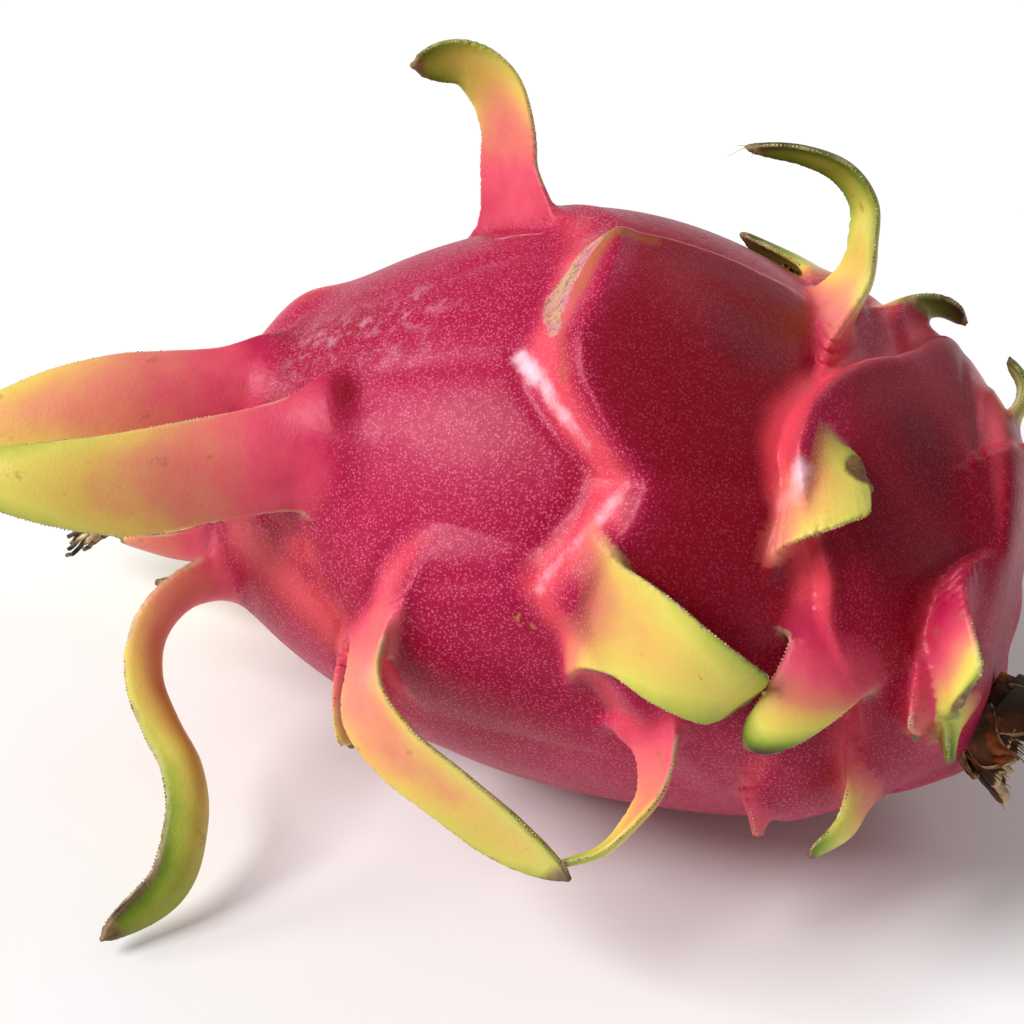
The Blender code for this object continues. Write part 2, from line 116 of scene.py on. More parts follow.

# %% [markdown]
# ## The scales
# Each scale grows from one place of the skin.  Its spine is a path from there, given in steps outward,
# towards the flower and round the body; then come its width, the flare of its root, how it narrows, its
# twist from root to tip, how deeply it is cupped and how high the mound behind it swells.
# `tint` says how ripe its colour is at the root and at the tip: 0 is the red of the rind, 0.3 peach,
# 0.45 yellow, 0.6 yellow-green, 0.8 green and 1 dried brown; the third number bends the change between.
# `lean` makes one margin riper than the other, and `skirt` is how far out the flare of the root reaches.
# `torn` is where a scale is torn: a share of its length, a place across it and how far the tear reaches.

# %% Table of the scales that can be told apart
USUAL_SCALE = dict(flare=0.6, tip=0.35, taper=0.35, roll=(0, 0), cup=0.2, mound=0.0,
                   tint=(0.05, 0.78, 0.9), lean=0.0, skirt=4.5)
SCALES = {
    "top_curl": dict(at=(-22, 120), spine=[(8, 3, 0), (14, 4, -1), (20, 7, -2), (23, 12, -4), (21, 19, -6)],
        width=10.5, flare=0.9, tip=0.55, taper=0.6, roll=(55, 75), cup=0.15, tint=(0.05, 0.85, 1.7),
        skirt=6),
    "top_stem_side": dict(at=(28, 103), spine=[(7, -3, 3), (13, -3, 4), (18, -2, 5), (22, 2, 5), (24, 8, 3),
                                               (24, 15, 1)],
        width=7.5, flare=2.0, taper=0.5, roll=(20, 50), tint=(0.1, 0.92, 0.7), skirt=7),
    "long_droop": dict(at=(-52, -16), spine=[(6, 6, 1), (12, 9, -1), (18, 8, -4), (23, 4, -7), (28, -1, -9),
                                             (35, -4, -12), (45, -4, -15), (55, 3, -16)],
        width=7.5, flare=0.8, tip=0.6, taper=0.75, roll=(0, 30), cup=0.5, mound=2.0, tint=(0.06, 0.85, 1.0),
        lean=0.14),
    "low_reflexed": dict(at=(-22, 9), spine=[(6, 0, -4), (12, -2, -7), (15, -8, -11), (16, -16, -15),
                                             (15.5, -25, -21), (15, -33, -26)],
        width=12.5, flare=0.3, tip=0.45, taper=0.75, roll=(-35, -25), mound=4.5, tint=(0.1, 0.55, 0.8)),
    "low_thin": dict(at=(17, 4), spine=[(4, -3, -3), (9, -4, -7), (14, -2, -10), (17, 1, -13), (19, 6, -15),
                                        ],
        width=6.5, flare=0.9, tip=0.3, roll=(-45, 0), tint=(0.04, 0.72, 1.6), skirt=6),
    "claw": dict(at=(46, -9), spine=[(5, -1, -1), (9, 0, -3), (12, 4, -6)],
        width=8, flare=1.0, tip=0.25, roll=(0, 20), tint=(0.08, 0.8, 1.2)),
    "middle_reflexed": dict(at=(7, 24), spine=[(4, -3, 0), (6, -9, -1), (7, -16, -4), (5, -22, -7),
                                               (1, -24, -9)],
        width=14.5, tip=0.7, taper=0.5, cup=0.1, tint=(0.1, 0.62, 0.5)),
    "upper_reflexed": dict(at=(31.5, 56), spine=[(3, -1, 0.3), (4.5, -4, 1.0), (4, -7.5, 2.0),
                                                 (2.5, -9.5, 2.6)],
        width=18, flare=0.1, tip=0.42, taper=0.15, cup=0.12, tint=(0.14, 0.62, 0.8), lean=0.1,
        torn=(0.9, 0.5, 0.2)),
    "low_folded": dict(at=(41, 34), spine=[(4.5, 0, -5), (7.5, 3, -11), (8, 6, -15), (5.5, 9, -18.5)],
        width=11, flare=1.0, tip=0.4, roll=(60, 75), tint=(0.0, 1.0, 2.0), lean=-0.2),
    "stem_flat": dict(at=(52.5, 43), spine=[(3, -1, -2), (5.5, -4, -6), (7, -6, -9)],
        width=15, flare=0.3, tip=0.85, cup=-0.2, mound=3.5, tint=(0.0, 0.66, 2.4)),
    "stem_curled": dict(at=(56, 22), spine=[(3, -1, -3), (5, -2, -8)],
        width=7, flare=0.4, tip=0.3, cup=0.3, mound=1.5, tint=(0.2, 0.78, 0.8)),
    "stem_small": dict(at=(53, 24), spine=[(3.5, 0, -3), (5, 0, -6)],
        width=10, flare=0.3, tip=0.5, mound=3.2, tint=(0.0, 0.2, 1.5)),
    "crown_top": dict(at=(-50, 62), spine=[(1.5, 6, -3), (4, 13, -6), (6, 20, -9), (7, 29, -14),
                                           (7, 38, -19), (5, 45, -23)],
        width=14, flare=0.2, taper=0.6, roll=(0, 20), cup=0.25, mound=1.0, tint=(0.0, 0.5, 0.9)),
    "crown_front": dict(at=(-35, 42), spine=[(1.5, 8, -3), (4.5, 17, -7), (9, 26, -11), (13, 35, -13),
                                             (14.5, 43, -14), (13.5, 50, -15)],
        width=15, flare=0.5, tip=0.4, taper=0.5, roll=(0, 10), cup=0.25, tint=(0.0, 0.66, 1.1)),
    "crown_small": dict(at=(-57, -15), spine=[(1, 8, -2), (0, 17, -4)],
        width=7, tip=0.4, mound=1.0, tint=(0.05, 0.3, 1.0)),
    "crown_behind": dict(at=(-54, 262), spine=[(3, 12, 0), (5, 25, 0), (3, 38, 0), (0, 48, 0)],
        width=12, flare=0.4, tip=0.4, roll=(0, 20), cup=0.25, mound=1.0, tint=(0.1, 0.7, 0.7)),
    "crown_far_side": dict(at=(-52, 175), spine=[(2, 8, 4), (0, 18, 9), (-5, 28, 14)],
        width=12, cup=0.25, mound=2.0),
    "crown_far_lower": dict(at=(-54, 225), spine=[(3, 8, 0), (4, 18, 1), (3, 28, 2)],
        width=11, cup=0.25, mound=2.0),
    "crown_under": dict(at=(-55, 305), spine=[(2, 7, 0), (3, 15, 2)],
        width=9, cup=0.25, mound=2.0),
    "edge_rising": dict(at=(49, 131), spine=[(3, -3, 0), (6, -6, 0), (10, -6, 0), (13, -3, 0)],
        width=7, flare=1.2, tip=0.4, roll=(0, 20), mound=4.0, tint=(0.15, 0.8, 0.7)),
    "edge_low": dict(at=(53, 121), spine=[(3, -3, 1), (5, -6, 2), (6, -8, 4)],
        width=15, flare=0.8, tip=0.3, mound=4.5, tint=(0.0, 0.75, 3.0)),
    "back_flap": dict(at=(25, 133), spine=[(4, 6, 2), (7, 16, 1)],
        width=12, flare=0.5, tip=0.4, mound=3.0, tint=(0.2, 0.85, 0.8)),
    "back_reflexed": dict(at=(33, 134), spine=[(4, -3, 1), (6, -7, 2), (5, -11, 3)],
        width=9, tip=0.4, mound=5.0, tint=(0.3, 0.95, 0.6)),
    "back_shoulder": dict(at=(-34, 165), spine=[(3, 6, 1), (2, 13, 4), (0, 18, 7)],
        width=12, tip=0.5, mound=3.0),
    "low_tongue": dict(at=(-28, -12), spine=[(5, 0, -4), (8, -1, -8)],
        width=8, flare=0.5, tip=0.7, mound=2.5, tint=(0.1, 0.35, 1.0)),
    "low_spike": dict(at=(32, -16), spine=[(3, -1, -2), (6, -2, -4)],
        width=5, flare=0.8, tip=0.2, mound=3.5, tint=(0.04, 0.15, 1.0)),
}
# Rows of scales on the far side and the underside: station, first and last angle, and how many.
HIDDEN_ROWS = [(-30, 200, 245, 2), (-8, 165, 215, 2), (12, 185, 235, 2),
               (30, 185, 225, 2), (45, 175, 262, 3), (53, 160, 250, 3)]
SEED = 11


def hidden_scales():
    """The scales of the hidden rows, with a little seeded variation."""
    draw = random.Random(SEED)
    found = []
    for x, first, last, count in HIDDEN_ROWS:
        for index in range(count):
            angle = first + (last - first) * index / max(1, count - 1) + draw.uniform(-6, 6)
            reach = draw.uniform(0.8, 1.15) * (1.0 if x < 40 else 0.6)
            lean = draw.uniform(-2, 2)
            found.append(dict(
                at=(x + draw.uniform(-3, 3), angle),
                spine=[(3.5, 5 * reach, 0), (6, 13 * reach, lean), (6.5, 21 * reach, 2 * lean)],
                width=draw.uniform(10, 13) * (0.75 if x > 40 else 1),
                roll=(0, draw.uniform(-15, 15)), mound=3.5))
    return found


ALL_SCALES = [USUAL_SCALE | scale for scale in list(SCALES.values()) + hidden_scales()]
print(len(ALL_SCALES), "scales")

# %% [markdown]
# ## Terraces, mounds and creases of the skin
# The scales of one turn of the spiral stand on a zigzag terrace: the skin steps up under them and falls
# back slowly towards the stem.  The two terraces in front are drawn as lines, station against angle, with a
# height along them; every other scale stands on a mound of its own.  Creases part the facets between.
# All of it is drawn once as a chart of the skin, so that any point can look its height up.

# %% Chart of the skin
MOUND_LENGTH, MOUND_HALF_WIDTH = 32.0, 17.0
FRONT_RUN, FRONT_BOW = 3.0, 7.0
FULL_MOUND, FULL_TERRACE = 5.0, 5.0
CHART_STEP, CHART_TURN = 0.5, 0.75
CHART_X = np.arange(-70, 64.01, CHART_STEP)
CHART_ANGLE = np.arange(0, 360, CHART_TURN)
# Each terrace: the (angle, station, height, depth of colour) of its front, how far it runs back, and half
# the length of its steep front.  The depth of colour is darker pigment and painted shade.  A roof is a line
# of (station, angle) over which the terrace sinks and its dark colour pales, and along which a painted
# highlight runs.
TERRACES = [
    dict(line=[(-30, 30, 0, 0.1), (-12, 22, 1.5, 0.1), (0, 16, 3.2, 0.2), (8, 11.5, 4.2, 0.3),
               (15, 8, 4.8, 0.45), (20, 4, 5.0, 0.6), (24.5, 1.5, 5.2, 0.7), (28.5, 3, 5.4, 0.8),
               (34, 5.3, 5.4, 0.9), (40, 8, 5.2, 0.95), (47, 8.6, 5.0, 1.0),
               (51, 4.2, 5.2, 1.0), (56, 0, 5.6, 1.0), (61, -3.6, 6.0, 1.0),
               (68, -5.8, 6.4, 1.0), (76, -5.4, 6.6, 1.0), (84, -5.6, 6.8, 0.9), (90, -6.2, 6.8, 1.0),
               (95, -7.0, 6.6, 1.0), (104, -9.5, 6.4, 1.0), (112, -14, 6.0, 1.0),
               (120, -20, 5.6, 1.0), (132, -20, 3.0, 1.0), (150, -12, 0, 0.0)], length=38.0, run=5.0,
         roof=[(-12, 89), (-5, 91.5), (1, 93), (9, 95.5), (17.5, 99.5), (23, 104), (30, 109)]),
    dict(line=[(-40, 52, 0, 0.1), (-12, 46, 3.5, 0.2), (10, 45, 3.8, 0.3), (24, 42.5, 4.4, 0.4),
               (34, 38, 4.8, 0.6), (42, 37, 5.0, 0.8), (48, 34.5, 5.6, 1.0),
               (55, 31, 6.4, 1.0), (62, 29, 6.8, 1.0), (71, 29, 6.8, 0.9),
               (80, 30.8, 6.4, 0.7), (90, 33.6, 5.6, 0.5), (100, 37, 5.0, 0.3), (110, 39, 4.6, 0.2),
               (124, 41, 4.6, 0.1), (140, 45, 3.5, 0.1), (165, 48, 0, 0.0)], length=27.0, run=2.4),
]
# Swellings behind the stem and at the crown's shoulder: station, angle, height and half width.
SWELLINGS = [(50, 134, 4.5, 15.0), (58, 118, 3.0, 9.0), (58, 92, 4.2, 7.0), (-54, 110, 3.4, 6.0)]
# Patches where the rind is painted darkest, for darker pigment and for painted shade on the side away from
# the
# lamps and in the notch by the crown: station, angle, depth of colour and half width.
DARK_AND_SHADED_PATCHES = [(45, 8, 0.5, 12.0), (46, 76, 1.0, 9.0), (43, 40, 0.6, 8.0), (49, 113, 1.1, 10.0),
                (46, 84, 1.25, 14.0), (19, 80, 1.2, 14.0), (-35.4, 54.6, 1.15, 2.9), (-34.4, 50.5, 0.7, 3.4)]
# Creases between facets: (station, angle) points, depth and half width.
CREASES = [
    dict(path=[(-34, 60), (-27, 62), (-21, 63.5), (-14, 65), (-10, 67.5)], depth=0.35, width=2.0),
    dict(path=[(-15, 21), (-7, 23.5), (0, 25)], depth=0.3, width=1.6),
    dict(path=[(-45, 20), (-38, 18.5), (-35, 8), (-31, 2), (-27, -7)], depth=0.8, width=1.4),
    dict(path=[(9, 47), (16, 49), (24, 52), (30, 57)], depth=0.5, width=2.0),
    dict(path=[(-24, 92), (-14, 98), (-8, 101)], depth=0.4, width=2.0),
    dict(path=[(-37, 57), (-33, 54)], depth=1.0, width=3.2),
    dict(path=[(44, -44), (54, -30), (60, -12)], depth=3.4, width=8.0),
]


def smoothstep(t):
    t = np.clip(t, 0, 1)
    return t * t * (3 - 2 * t)


def turned(angle):
    """Angles as -90 to 270, so that the front of the fruit lies in the middle of the range."""
    return (angle + 90) % 360 - 90


def along_line(line, column, angle):
    """A terrace's value at each angle, eased between its points."""
    keys = [point[0] for point in line]
    dense = np.arange(keys[0], keys[-1] + 0.25, 0.5)
    values = np.interp(dense, keys, [point[column] for point in line])
    values = np.convolve(np.pad(values, 3, mode="edge"), np.ones(7) / 7, mode="valid")
    return np.interp(turned(angle), dense, values)


def distance_to(path, x, angle, radius):
    """Distance along the skin from each place to a path."""
    nearest = np.full(np.shape(x), 99.0)
    for (x0, a0), (x1, a1) in zip(path, path[1:]):
        px, pa = x - x0, np.radians(angle - a0) * radius
        dx, da = x1 - x0, np.radians(a1 - a0) * radius
        t = np.clip((px * dx + pa * da) / (dx * dx + da * da), 0, 1)
        nearest = np.minimum(nearest, np.hypot(px - t * dx, pa - t * da))
    return nearest


def band(distance, width):
    """1 at no distance, falling softly to 0."""
    return np.exp(-(distance / width) ** 2)


def draw_charts():
    """Mound height, relief, ridges and depth of colour, which is darker pigment and painted shade, over the
    whole skin.
    """
    x, angle = np.meshgrid(CHART_X, CHART_ANGLE, indexing="ij")
    front = turned(angle)
    radius = BODY_RADIUS * shape_factor(x)
    height, ridge, dark_rind_and_shade, foot = (np.zeros_like(x) for _ in range(4))
    for scale in ALL_SCALES:
        root_x, root_angle = scale["at"]
        size = 0.45 + 0.55 * float(shape_factor(root_x))
        turn = (angle - root_angle + 180) % 360 - 180
        across = np.radians(turn) * radius / (MOUND_HALF_WIDTH * size)
        back = x - root_x - FRONT_BOW * size * across ** 2
        inside = np.clip(1 - across ** 2, 0, 1)
        rise = smoothstep((back + FRONT_RUN) / (2 * FRONT_RUN))
        fall = np.clip(1 - (np.clip(back, 0, None) / (MOUND_LENGTH * size)) ** 1.6, 0, 1)
        height += (scale["mound"] * rise * fall * inside) ** 3
        strength = min(1.0, scale["mound"] / FULL_MOUND) * np.sqrt(inside)
        ridge = np.maximum(ridge, strength * band(back + 0.5, 2.6))
        foot = np.maximum(foot, strength * band(back + 3.6, 0.9))
    for terrace in TERRACES:
        line, run = terrace["line"], terrace["run"]
        inside = (front >= line[0][0]) & (front <= line[-1][0])
        back = x - along_line(line, 1, angle)
        tall = along_line(line, 2, angle) * inside
        lit = 1.0
        if "roof" in terrace:
            over = front - np.interp(x, *np.transpose(terrace["roof"]))
            lit = 1 - 0.5 * smoothstep(over / 2.5 + 0.5)
            tall = tall * (1 - 0.52 * smoothstep(over / 6))
            # A pale line just over the roof is a painted highlight, coloured like the ridges.
            roof_highlight = 0.55 * band(over - 1.2, 1.6) * (x > -6) * smoothstep((32 - x) / 8)
            ridge = np.maximum(ridge, roof_highlight)
        rise = smoothstep((back + run) / (2 * run))
        fall = np.clip(1 - (np.clip(back, 0, None) / terrace["length"]) ** 1.7, 0, 1)
        height += (tall * (rise * fall + 0.09 * band(back - run, 1.8))) ** 3
        share = np.clip(tall / FULL_TERRACE, 0, 1)
        ridge = np.maximum(ridge, share * band(back + 0.8, 3.8))
        foot = np.maximum(foot, 0.6 * share * band(back + run + 0.6, 1.4))
        # The terrace's depth of colour is darker pigment and painted shade.
        depth = along_line(line, 3, angle) * inside * smoothstep((back - 2.5) / 8)
        dark_rind_and_shade = np.maximum(dark_rind_and_shade, depth * smoothstep(fall * 3) * lit)
    height = height ** (1 / 3)
    relief = height - 0.45 * foot
    for x0, a0, tall, width in SWELLINGS:
        relief += tall * band(np.hypot(x - x0, np.radians(front - a0) * radius), width)
    for crease in CREASES:
        near = distance_to(crease["path"], x, front, radius)
        relief -= crease["depth"] * band(near, crease["width"])
    # Patches painted dark, for darker pigment and for painted shade.
    for x0, a0, depth, width in DARK_AND_SHADED_PATCHES:
        near = np.hypot(x - x0, np.radians(front - a0) * radius)
        dark_rind_and_shade = np.maximum(dark_rind_and_shade, depth * band(near, width))
    return height, relief, ridge, dark_rind_and_shade


HEIGHT, SKIN_RELIEF, RIDGE, DARK_RIND_AND_SHADE = draw_charts()


def look_up(chart, x, angle):
    """Value of a chart at stations x and angles, between its points."""
    i = np.clip((x - CHART_X[0]) / CHART_STEP, 0, len(CHART_X) - 1.001)
    j = (angle % 360) / CHART_TURN
    i0, j0 = i.astype(int), j.astype(int) % len(CHART_ANGLE)
    fi, fj = i - i0, j - np.floor(j)
    j1 = (j0 + 1) % len(CHART_ANGLE)
    return ((chart[i0, j0] * (1 - fj) + chart[i0, j1] * fj) * (1 - fi)
            + (chart[i0 + 1, j0] * (1 - fj) + chart[i0 + 1, j1] * fj) * fi)


print("highest mound, mm:", round(float(HEIGHT.max()), 2))

# %% [markdown]
# ## The body as a field
# A field gives each point of space a number, under zero inside the fruit and over zero outside.  The
# surface is where it is zero.  Fields join softly, which is how a scale grows out of the skin with no seam.

# %% Field of the body
NAVEL_DEPTH, NAVEL_WIDTH = 2.5, 8.0
END_ROUNDING = 2.5


def soft_max(a, b, k):
    h = np.clip(k - np.abs(a - b), 0, None) / k
    return np.maximum(a, b) + h * h * k / 4


def soft_min(a, b, k):
    h = np.clip(k - np.abs(a - b), 0, None) / k
    return np.minimum(a, b) - h * h * k / 4


def skin_place(points):
    """Station, angle and distance from the axis of each point."""
    y, z = axis_at(np.clip(points[:, 0], -70, 62))
    dy, dz = points[:, 1] - y, points[:, 2] - z
    return points[:, 0], np.degrees(np.arctan2(dz, -dy)), np.hypot(dy, dz)


def body_field(points):
    x, angle, r = skin_place(points)
    inside_x = np.clip(x, -69, 62.5)
    slope = BODY_RADIUS * (shape_factor(inside_x + 0.4) - shape_factor(inside_x - 0.4)) / 0.8
    skin = BODY_RADIUS * shape_factor(inside_x)
    radial = (r - skin - look_up(SKIN_RELIEF, x, angle)) / np.sqrt(1 + slope ** 2)
    navel = FLOWER_END + NAVEL_DEPTH * band(r, NAVEL_WIDTH)
    return soft_max(soft_max(radial, navel - x, END_ROUNDING), x - STEM_END, END_ROUNDING)


# %% [markdown]
# ## A scale as a field
# A scale is a ribbon swept along its spine.  Each point finds the nearest station of the spine and measures
# how far it is across the ribbon and off its face.  The ribbon is thickest at its midrib, thin at its
# margins, and cupped.

# %% Field of a scale
ROOT_SINK = 5.0
STATION_STEP = 0.8
TIP_START = 0.86
TIP_THICKNESS, BLADE_THICKENING, ROOT_THICKENING, ROOT_REACH = 0.6, 0.5, 1.6, 4.0
HALF_EDGE = 0.43


def smooth_path(points, step):
    """Points spread evenly along a curve through the points given, and its length."""
    padded = [points[0] * 2 - points[1]] + points + [points[-1] * 2 - points[-2]]
    dense = []
    for before, start, end, after in zip(padded, padded[1:], padded[2:], padded[3:]):
        for t in np.linspace(0, 1, 12, endpoint=False):
            dense.append(0.5 * (2 * start + (end - before) * t
                                + (2 * before - 5 * start + 4 * end - after) * t ** 2
                                + (3 * start - before - 3 * end + after) * t ** 3))
    dense = np.array(dense + [points[-1]])
    runs = np.concatenate([[0], np.cumsum(np.linalg.norm(np.diff(dense, axis=0), axis=1))])
    wanted = np.linspace(0, runs[-1], max(12, int(runs[-1] / step)))
    return np.stack([np.interp(wanted, runs, dense[:, k]) for k in range(3)], 1), runs[-1]


class Leaf:
    """A scale's ribbon: its stations, their frames and its sizes along the way."""

    def __init__(self, scale):
        self.scale = scale
        root_x, angle = scale["at"]
        out, around = out_and_around(angle)
        y, z = axis_at(root_x)
        root = np.array([root_x, y, z]) + out * BODY_RADIUS * shape_factor(root_x)
        o, a, c = scale["spine"][0]
        first = out * o + np.array([-a, 0, 0]) + around * c
        lying = max(a, 0) / (abs(o) + abs(a) + 0.01)
        sunk = out * (1 - lying) + first / np.linalg.norm(first) * lying
        spine = [root - sunk / np.linalg.norm(sunk) * ROOT_SINK - out * 1.5 * lying, root]
        for o, a, c in scale["spine"]:
            place = root + out * o + np.array([-a, 0, 0]) + around * c
            place[2] = max(place[2], FLOOR_CLEARANCE)
            spine.append(place)
        self.places, whole = smooth_path(spine, STATION_STEP)
        count = len(self.places)
        self.step = whole / (count - 1)
        self.length = whole - ROOT_SINK
        ahead = np.gradient(self.places, axis=0)
        self.ahead = ahead = ahead / np.linalg.norm(ahead, axis=1)[:, None]
        self.run = np.arange(count) * self.step - ROOT_SINK
        share = np.clip(self.run / self.length, 0, 1)
        roll = np.radians(scale["roll"][0] + (scale["roll"][1] - scale["roll"][0]) * share)
        across, wide, thick = around.copy(), [], []
        for k in range(count):
            across = across - ahead[k] * across.dot(ahead[k])
            across /= np.linalg.norm(across)
            normal = np.cross(ahead[k], across)
            wide.append(across * math.cos(roll[k]) + normal * math.sin(roll[k]))
            thick.append(np.cross(ahead[k], wide[-1]))
        self.wide, self.thick = np.array(wide), np.array(thick)
        outside = np.clip(self.run, 0, None)
        flare = scale["flare"] * np.exp(-(outside / scale["skirt"]) ** 1.3)
        narrow = np.clip((share - scale["taper"]) / (1 - scale["taper"]), 0, 1)
        taper = 1 - (1 - scale["tip"]) * narrow ** 1.4
        end = np.sqrt(1 - np.clip((share - TIP_START) / (1 - TIP_START), 0, 1) ** 2)
        self.half = 0.5 * scale["width"] * (1 + flare) * taper * (0.18 + 0.82 * end)
        self.thickness = (TIP_THICKNESS + BLADE_THICKENING * (1 - share)
                          + ROOT_THICKENING * np.exp(-(outside / ROOT_REACH) ** 1.2))
        reach = self.half.max() + 7
        self.low, self.high = self.places.min(0) - reach, self.places.max(0) + reach

    def around(self, points):
        """Which points lie near enough to be measured."""
        return np.flatnonzero(((points > self.low) & (points < self.high)).all(1))

    def measure(self, points):
        """Signed distance, run from the skin, place across (-1 to 1) and height off the middle sheet."""
        square = ((points ** 2).sum(1)[:, None] - 2 * points @ self.places.T
                  + (self.places ** 2).sum(1)[None, :])
        nearest = square.argmin(1)
        off = ((points - self.places[nearest]) * self.ahead[nearest]).sum(1) / self.step
        at = np.clip(nearest + np.clip(off, -1, 1), 0, len(self.places) - 1.001)
        low = at.astype(int)
        f = (at - low)[:, None]
        here = [values[low] * (1 - f) + values[low + 1] * f
                for values in (self.places, self.wide, self.thick, self.ahead)]
        d = points - here[0]
        u, v, beyond = ((d * way).sum(1) for way in here[1:])
        half, thickness, run = (values[low] * (1 - f[:, 0]) + values[low + 1] * f[:, 0]
                                for values in (self.half, self.thickness, self.run))
        cup = self.scale["cup"]
        place = np.clip(u / half, -1.3, 1.3)
        sheet = (v - cup * half * place ** 2) / np.sqrt(1 + (2 * cup * place) ** 2)
        local = HALF_EDGE + (thickness - HALF_EDGE) * np.clip(1 - place ** 2, 0, 1)
        spare = np.clip(np.abs(u) - (half - HALF_EDGE), 0, None)
        distance = np.sqrt(spare ** 2 + sheet ** 2 + beyond ** 2) - local
        return distance, run, u / half, sheet


LEAVES = [Leaf(scale) for scale in ALL_SCALES]
print("longest scale, mm:", round(max(leaf.length for leaf in LEAVES), 1))

# %% [markdown]
# ## The whole fruit as a field
# The scales join the body softly, more on the outer side, where a scale's back runs down into the skin,
# than in the axil, which is a sharp fold.  Further out a scale keeps its own shape.

# %% Field of the fruit
AXIL_BLEND, BACK_BLEND, BLEND_REACH, LEAST_BLEND = 1.0, 5.0, 9.0, 0.15
UNDERSIDE = 0.05


def fruit_field(points):
    value = body_field(points)
    for leaf in LEAVES:
        near = leaf.around(points)
        if not len(near):
            continue
        distance, run, _, sheet = leaf.measure(points[near])
        blend = AXIL_BLEND + (BACK_BLEND - AXIL_BLEND) * smoothstep(0.5 - sheet / 2.5)
        blend = blend * band(np.clip(run, 0, None), BLEND_REACH) + LEAST_BLEND
        value[near] = soft_min(value[near], distance, blend)
    return soft_max(value, UNDERSIDE - points[:, 2], 0.4)


# %% [markdown]
# ## From the field to a mesh
# Space is cut in small cells, but only near the surface.  Each cell that the surface crosses gets one
# point, and neighbouring points are joined by quads.  This is called surface nets.  Then the mesh is
# thinned, keeping its points where the shape is fine, and each point is moved exactly onto the surface.

# %% Surface nets
COARSE = 2.5
FINE = COARSE / 5
NEAR_CELLS = 1.45
LOW_CORNER = np.array([-107.0, -78.0, -3.0])
COARSE_COUNT = np.ceil((np.array([74.0, 54.0, 108.0]) - LOW_CORNER) / COARSE).astype(int)


def in_batches(function, points, size=250_000):
    return np.concatenate([function(points[i:i + size]) for i in range(0, len(points), size)])


def spread(cells, share):
    """A grid with each cell repeated along every axis."""
    for axis in range(3):
        cells = np.repeat(cells, share, axis)
    return cells


def fine_grid():
    """Field values on the fine grid, worked out only near the surface."""
    axes = [LOW_CORNER[k] + COARSE * np.arange(COARSE_COUNT[k] + 1) for k in range(3)]
    corners = np.stack(np.meshgrid(*axes, indexing="ij"), -1)
    coarse = in_batches(fruit_field, corners.reshape(-1, 3)).reshape(corners.shape[:3])
    share = int(round(COARSE / FINE))
    fine = np.sign(spread(coarse, share)).astype(np.float32) * 9
    places = np.argwhere(spread(np.abs(coarse) < COARSE * NEAR_CELLS, share))
    fine[tuple(places.T)] = in_batches(fruit_field, LOW_CORNER + (places - (share - 1) / 2) * FINE)
    return fine, LOW_CORNER - (share - 1) / 2 * FINE


def surface_nets(grid, corner):
    """Points and quads of the zero surface of a grid."""
    inside = grid < 0
    count = np.zeros(np.array(grid.shape) - 1, np.int8)
    for i, j, k in np.ndindex(2, 2, 2):
        count += inside[i:i + count.shape[0], j:j + count.shape[1], k:k + count.shape[2]]
    cells = np.argwhere((count > 0) & (count < 8))
    number = np.full(count.shape, -1, np.int32)
    number[tuple(cells.T)] = np.arange(len(cells))
    total, hits = np.zeros((len(cells), 3)), np.zeros(len(cells))
    for axis in range(3):
        step = np.eye(3, dtype=int)[axis]
        for a, b in np.ndindex(2, 2):
            start = np.insert([a, b], axis, 0)
            low = cells + start
            v0, v1 = grid[tuple(low.T)], grid[tuple((low + step).T)]
            cross = (v0 < 0) != (v1 < 0)
            t = np.where(cross, v0 / np.where(cross, v0 - v1, 1), 0)
            total += np.where(cross[:, None], start + t[:, None] * step, 0)
            hits += cross
    points = corner + (cells + total / hits[:, None]) * FINE
    quads = []
    for axis in range(3):
        step = np.eye(3, dtype=int)[axis]
        b, c = np.eye(3, dtype=int)[(axis + 1) % 3], np.eye(3, dtype=int)[(axis + 2) % 3]
        span = [slice(0, n - s) for n, s in zip(grid.shape, step)]
        shifted = [slice(s, n) for n, s in zip(grid.shape, step)]
        first, second = inside[tuple(span)], inside[tuple(shifted)]
        for into in (True, False):
            edges = np.argwhere((first & ~second) if into else (~first & second))
            edges = edges[(edges[:, (axis + 1) % 3] > 0) & (edges[:, (axis + 2) % 3] > 0)]
            ring = [edges - b - c, edges - c, edges, edges - b]
            quad = np.stack([number[tuple(p.T)] for p in ring], 1)
            quads.append(quad if into else quad[:, ::-1])
    return points, np.concatenate(quads)


def mesh_from(name, points, faces):
    """A mesh from millimetre points and an array of faces with the same number of corners each."""
    mesh = bpy.data.meshes.new(name)
    corners = faces.shape[1]
    mesh.vertices.add(len(points))
    mesh.vertices.foreach_set("co", (np.asarray(points) * MM).astype(np.float32).ravel())
    mesh.loops.add(len(faces) * corners)
    mesh.loops.foreach_set("vertex_index", faces.astype(np.int32).ravel())
    mesh.polygons.add(len(faces))
    mesh.polygons.foreach_set("loop_start", np.arange(0, len(faces) * corners, corners, dtype=np.int32))
    mesh.update(calc_edges=True)
    mesh.validate()
    return mesh


def points_of(mesh):
    points = np.empty(len(mesh.vertices) * 3, np.float32)
    mesh.vertices.foreach_get("co", points)
    return points.reshape(-1, 3).astype(float) / MM


def add_object(name, mesh):
    obj = bpy.data.objects.new(name, mesh)
    bpy.context.scene.collection.objects.link(obj)
    return obj


def bake(obj):
    """Keeps what an object's modifier makes as its own mesh, and takes the modifier away."""
    plain = obj.data
    bpy.context.view_layer.update()
    done = bpy.data.meshes.new_from_object(obj.evaluated_get(bpy.context.evaluated_depsgraph_get()))
    obj.modifiers.clear()
    obj.data = done
    bpy.data.meshes.remove(plain)
    return done


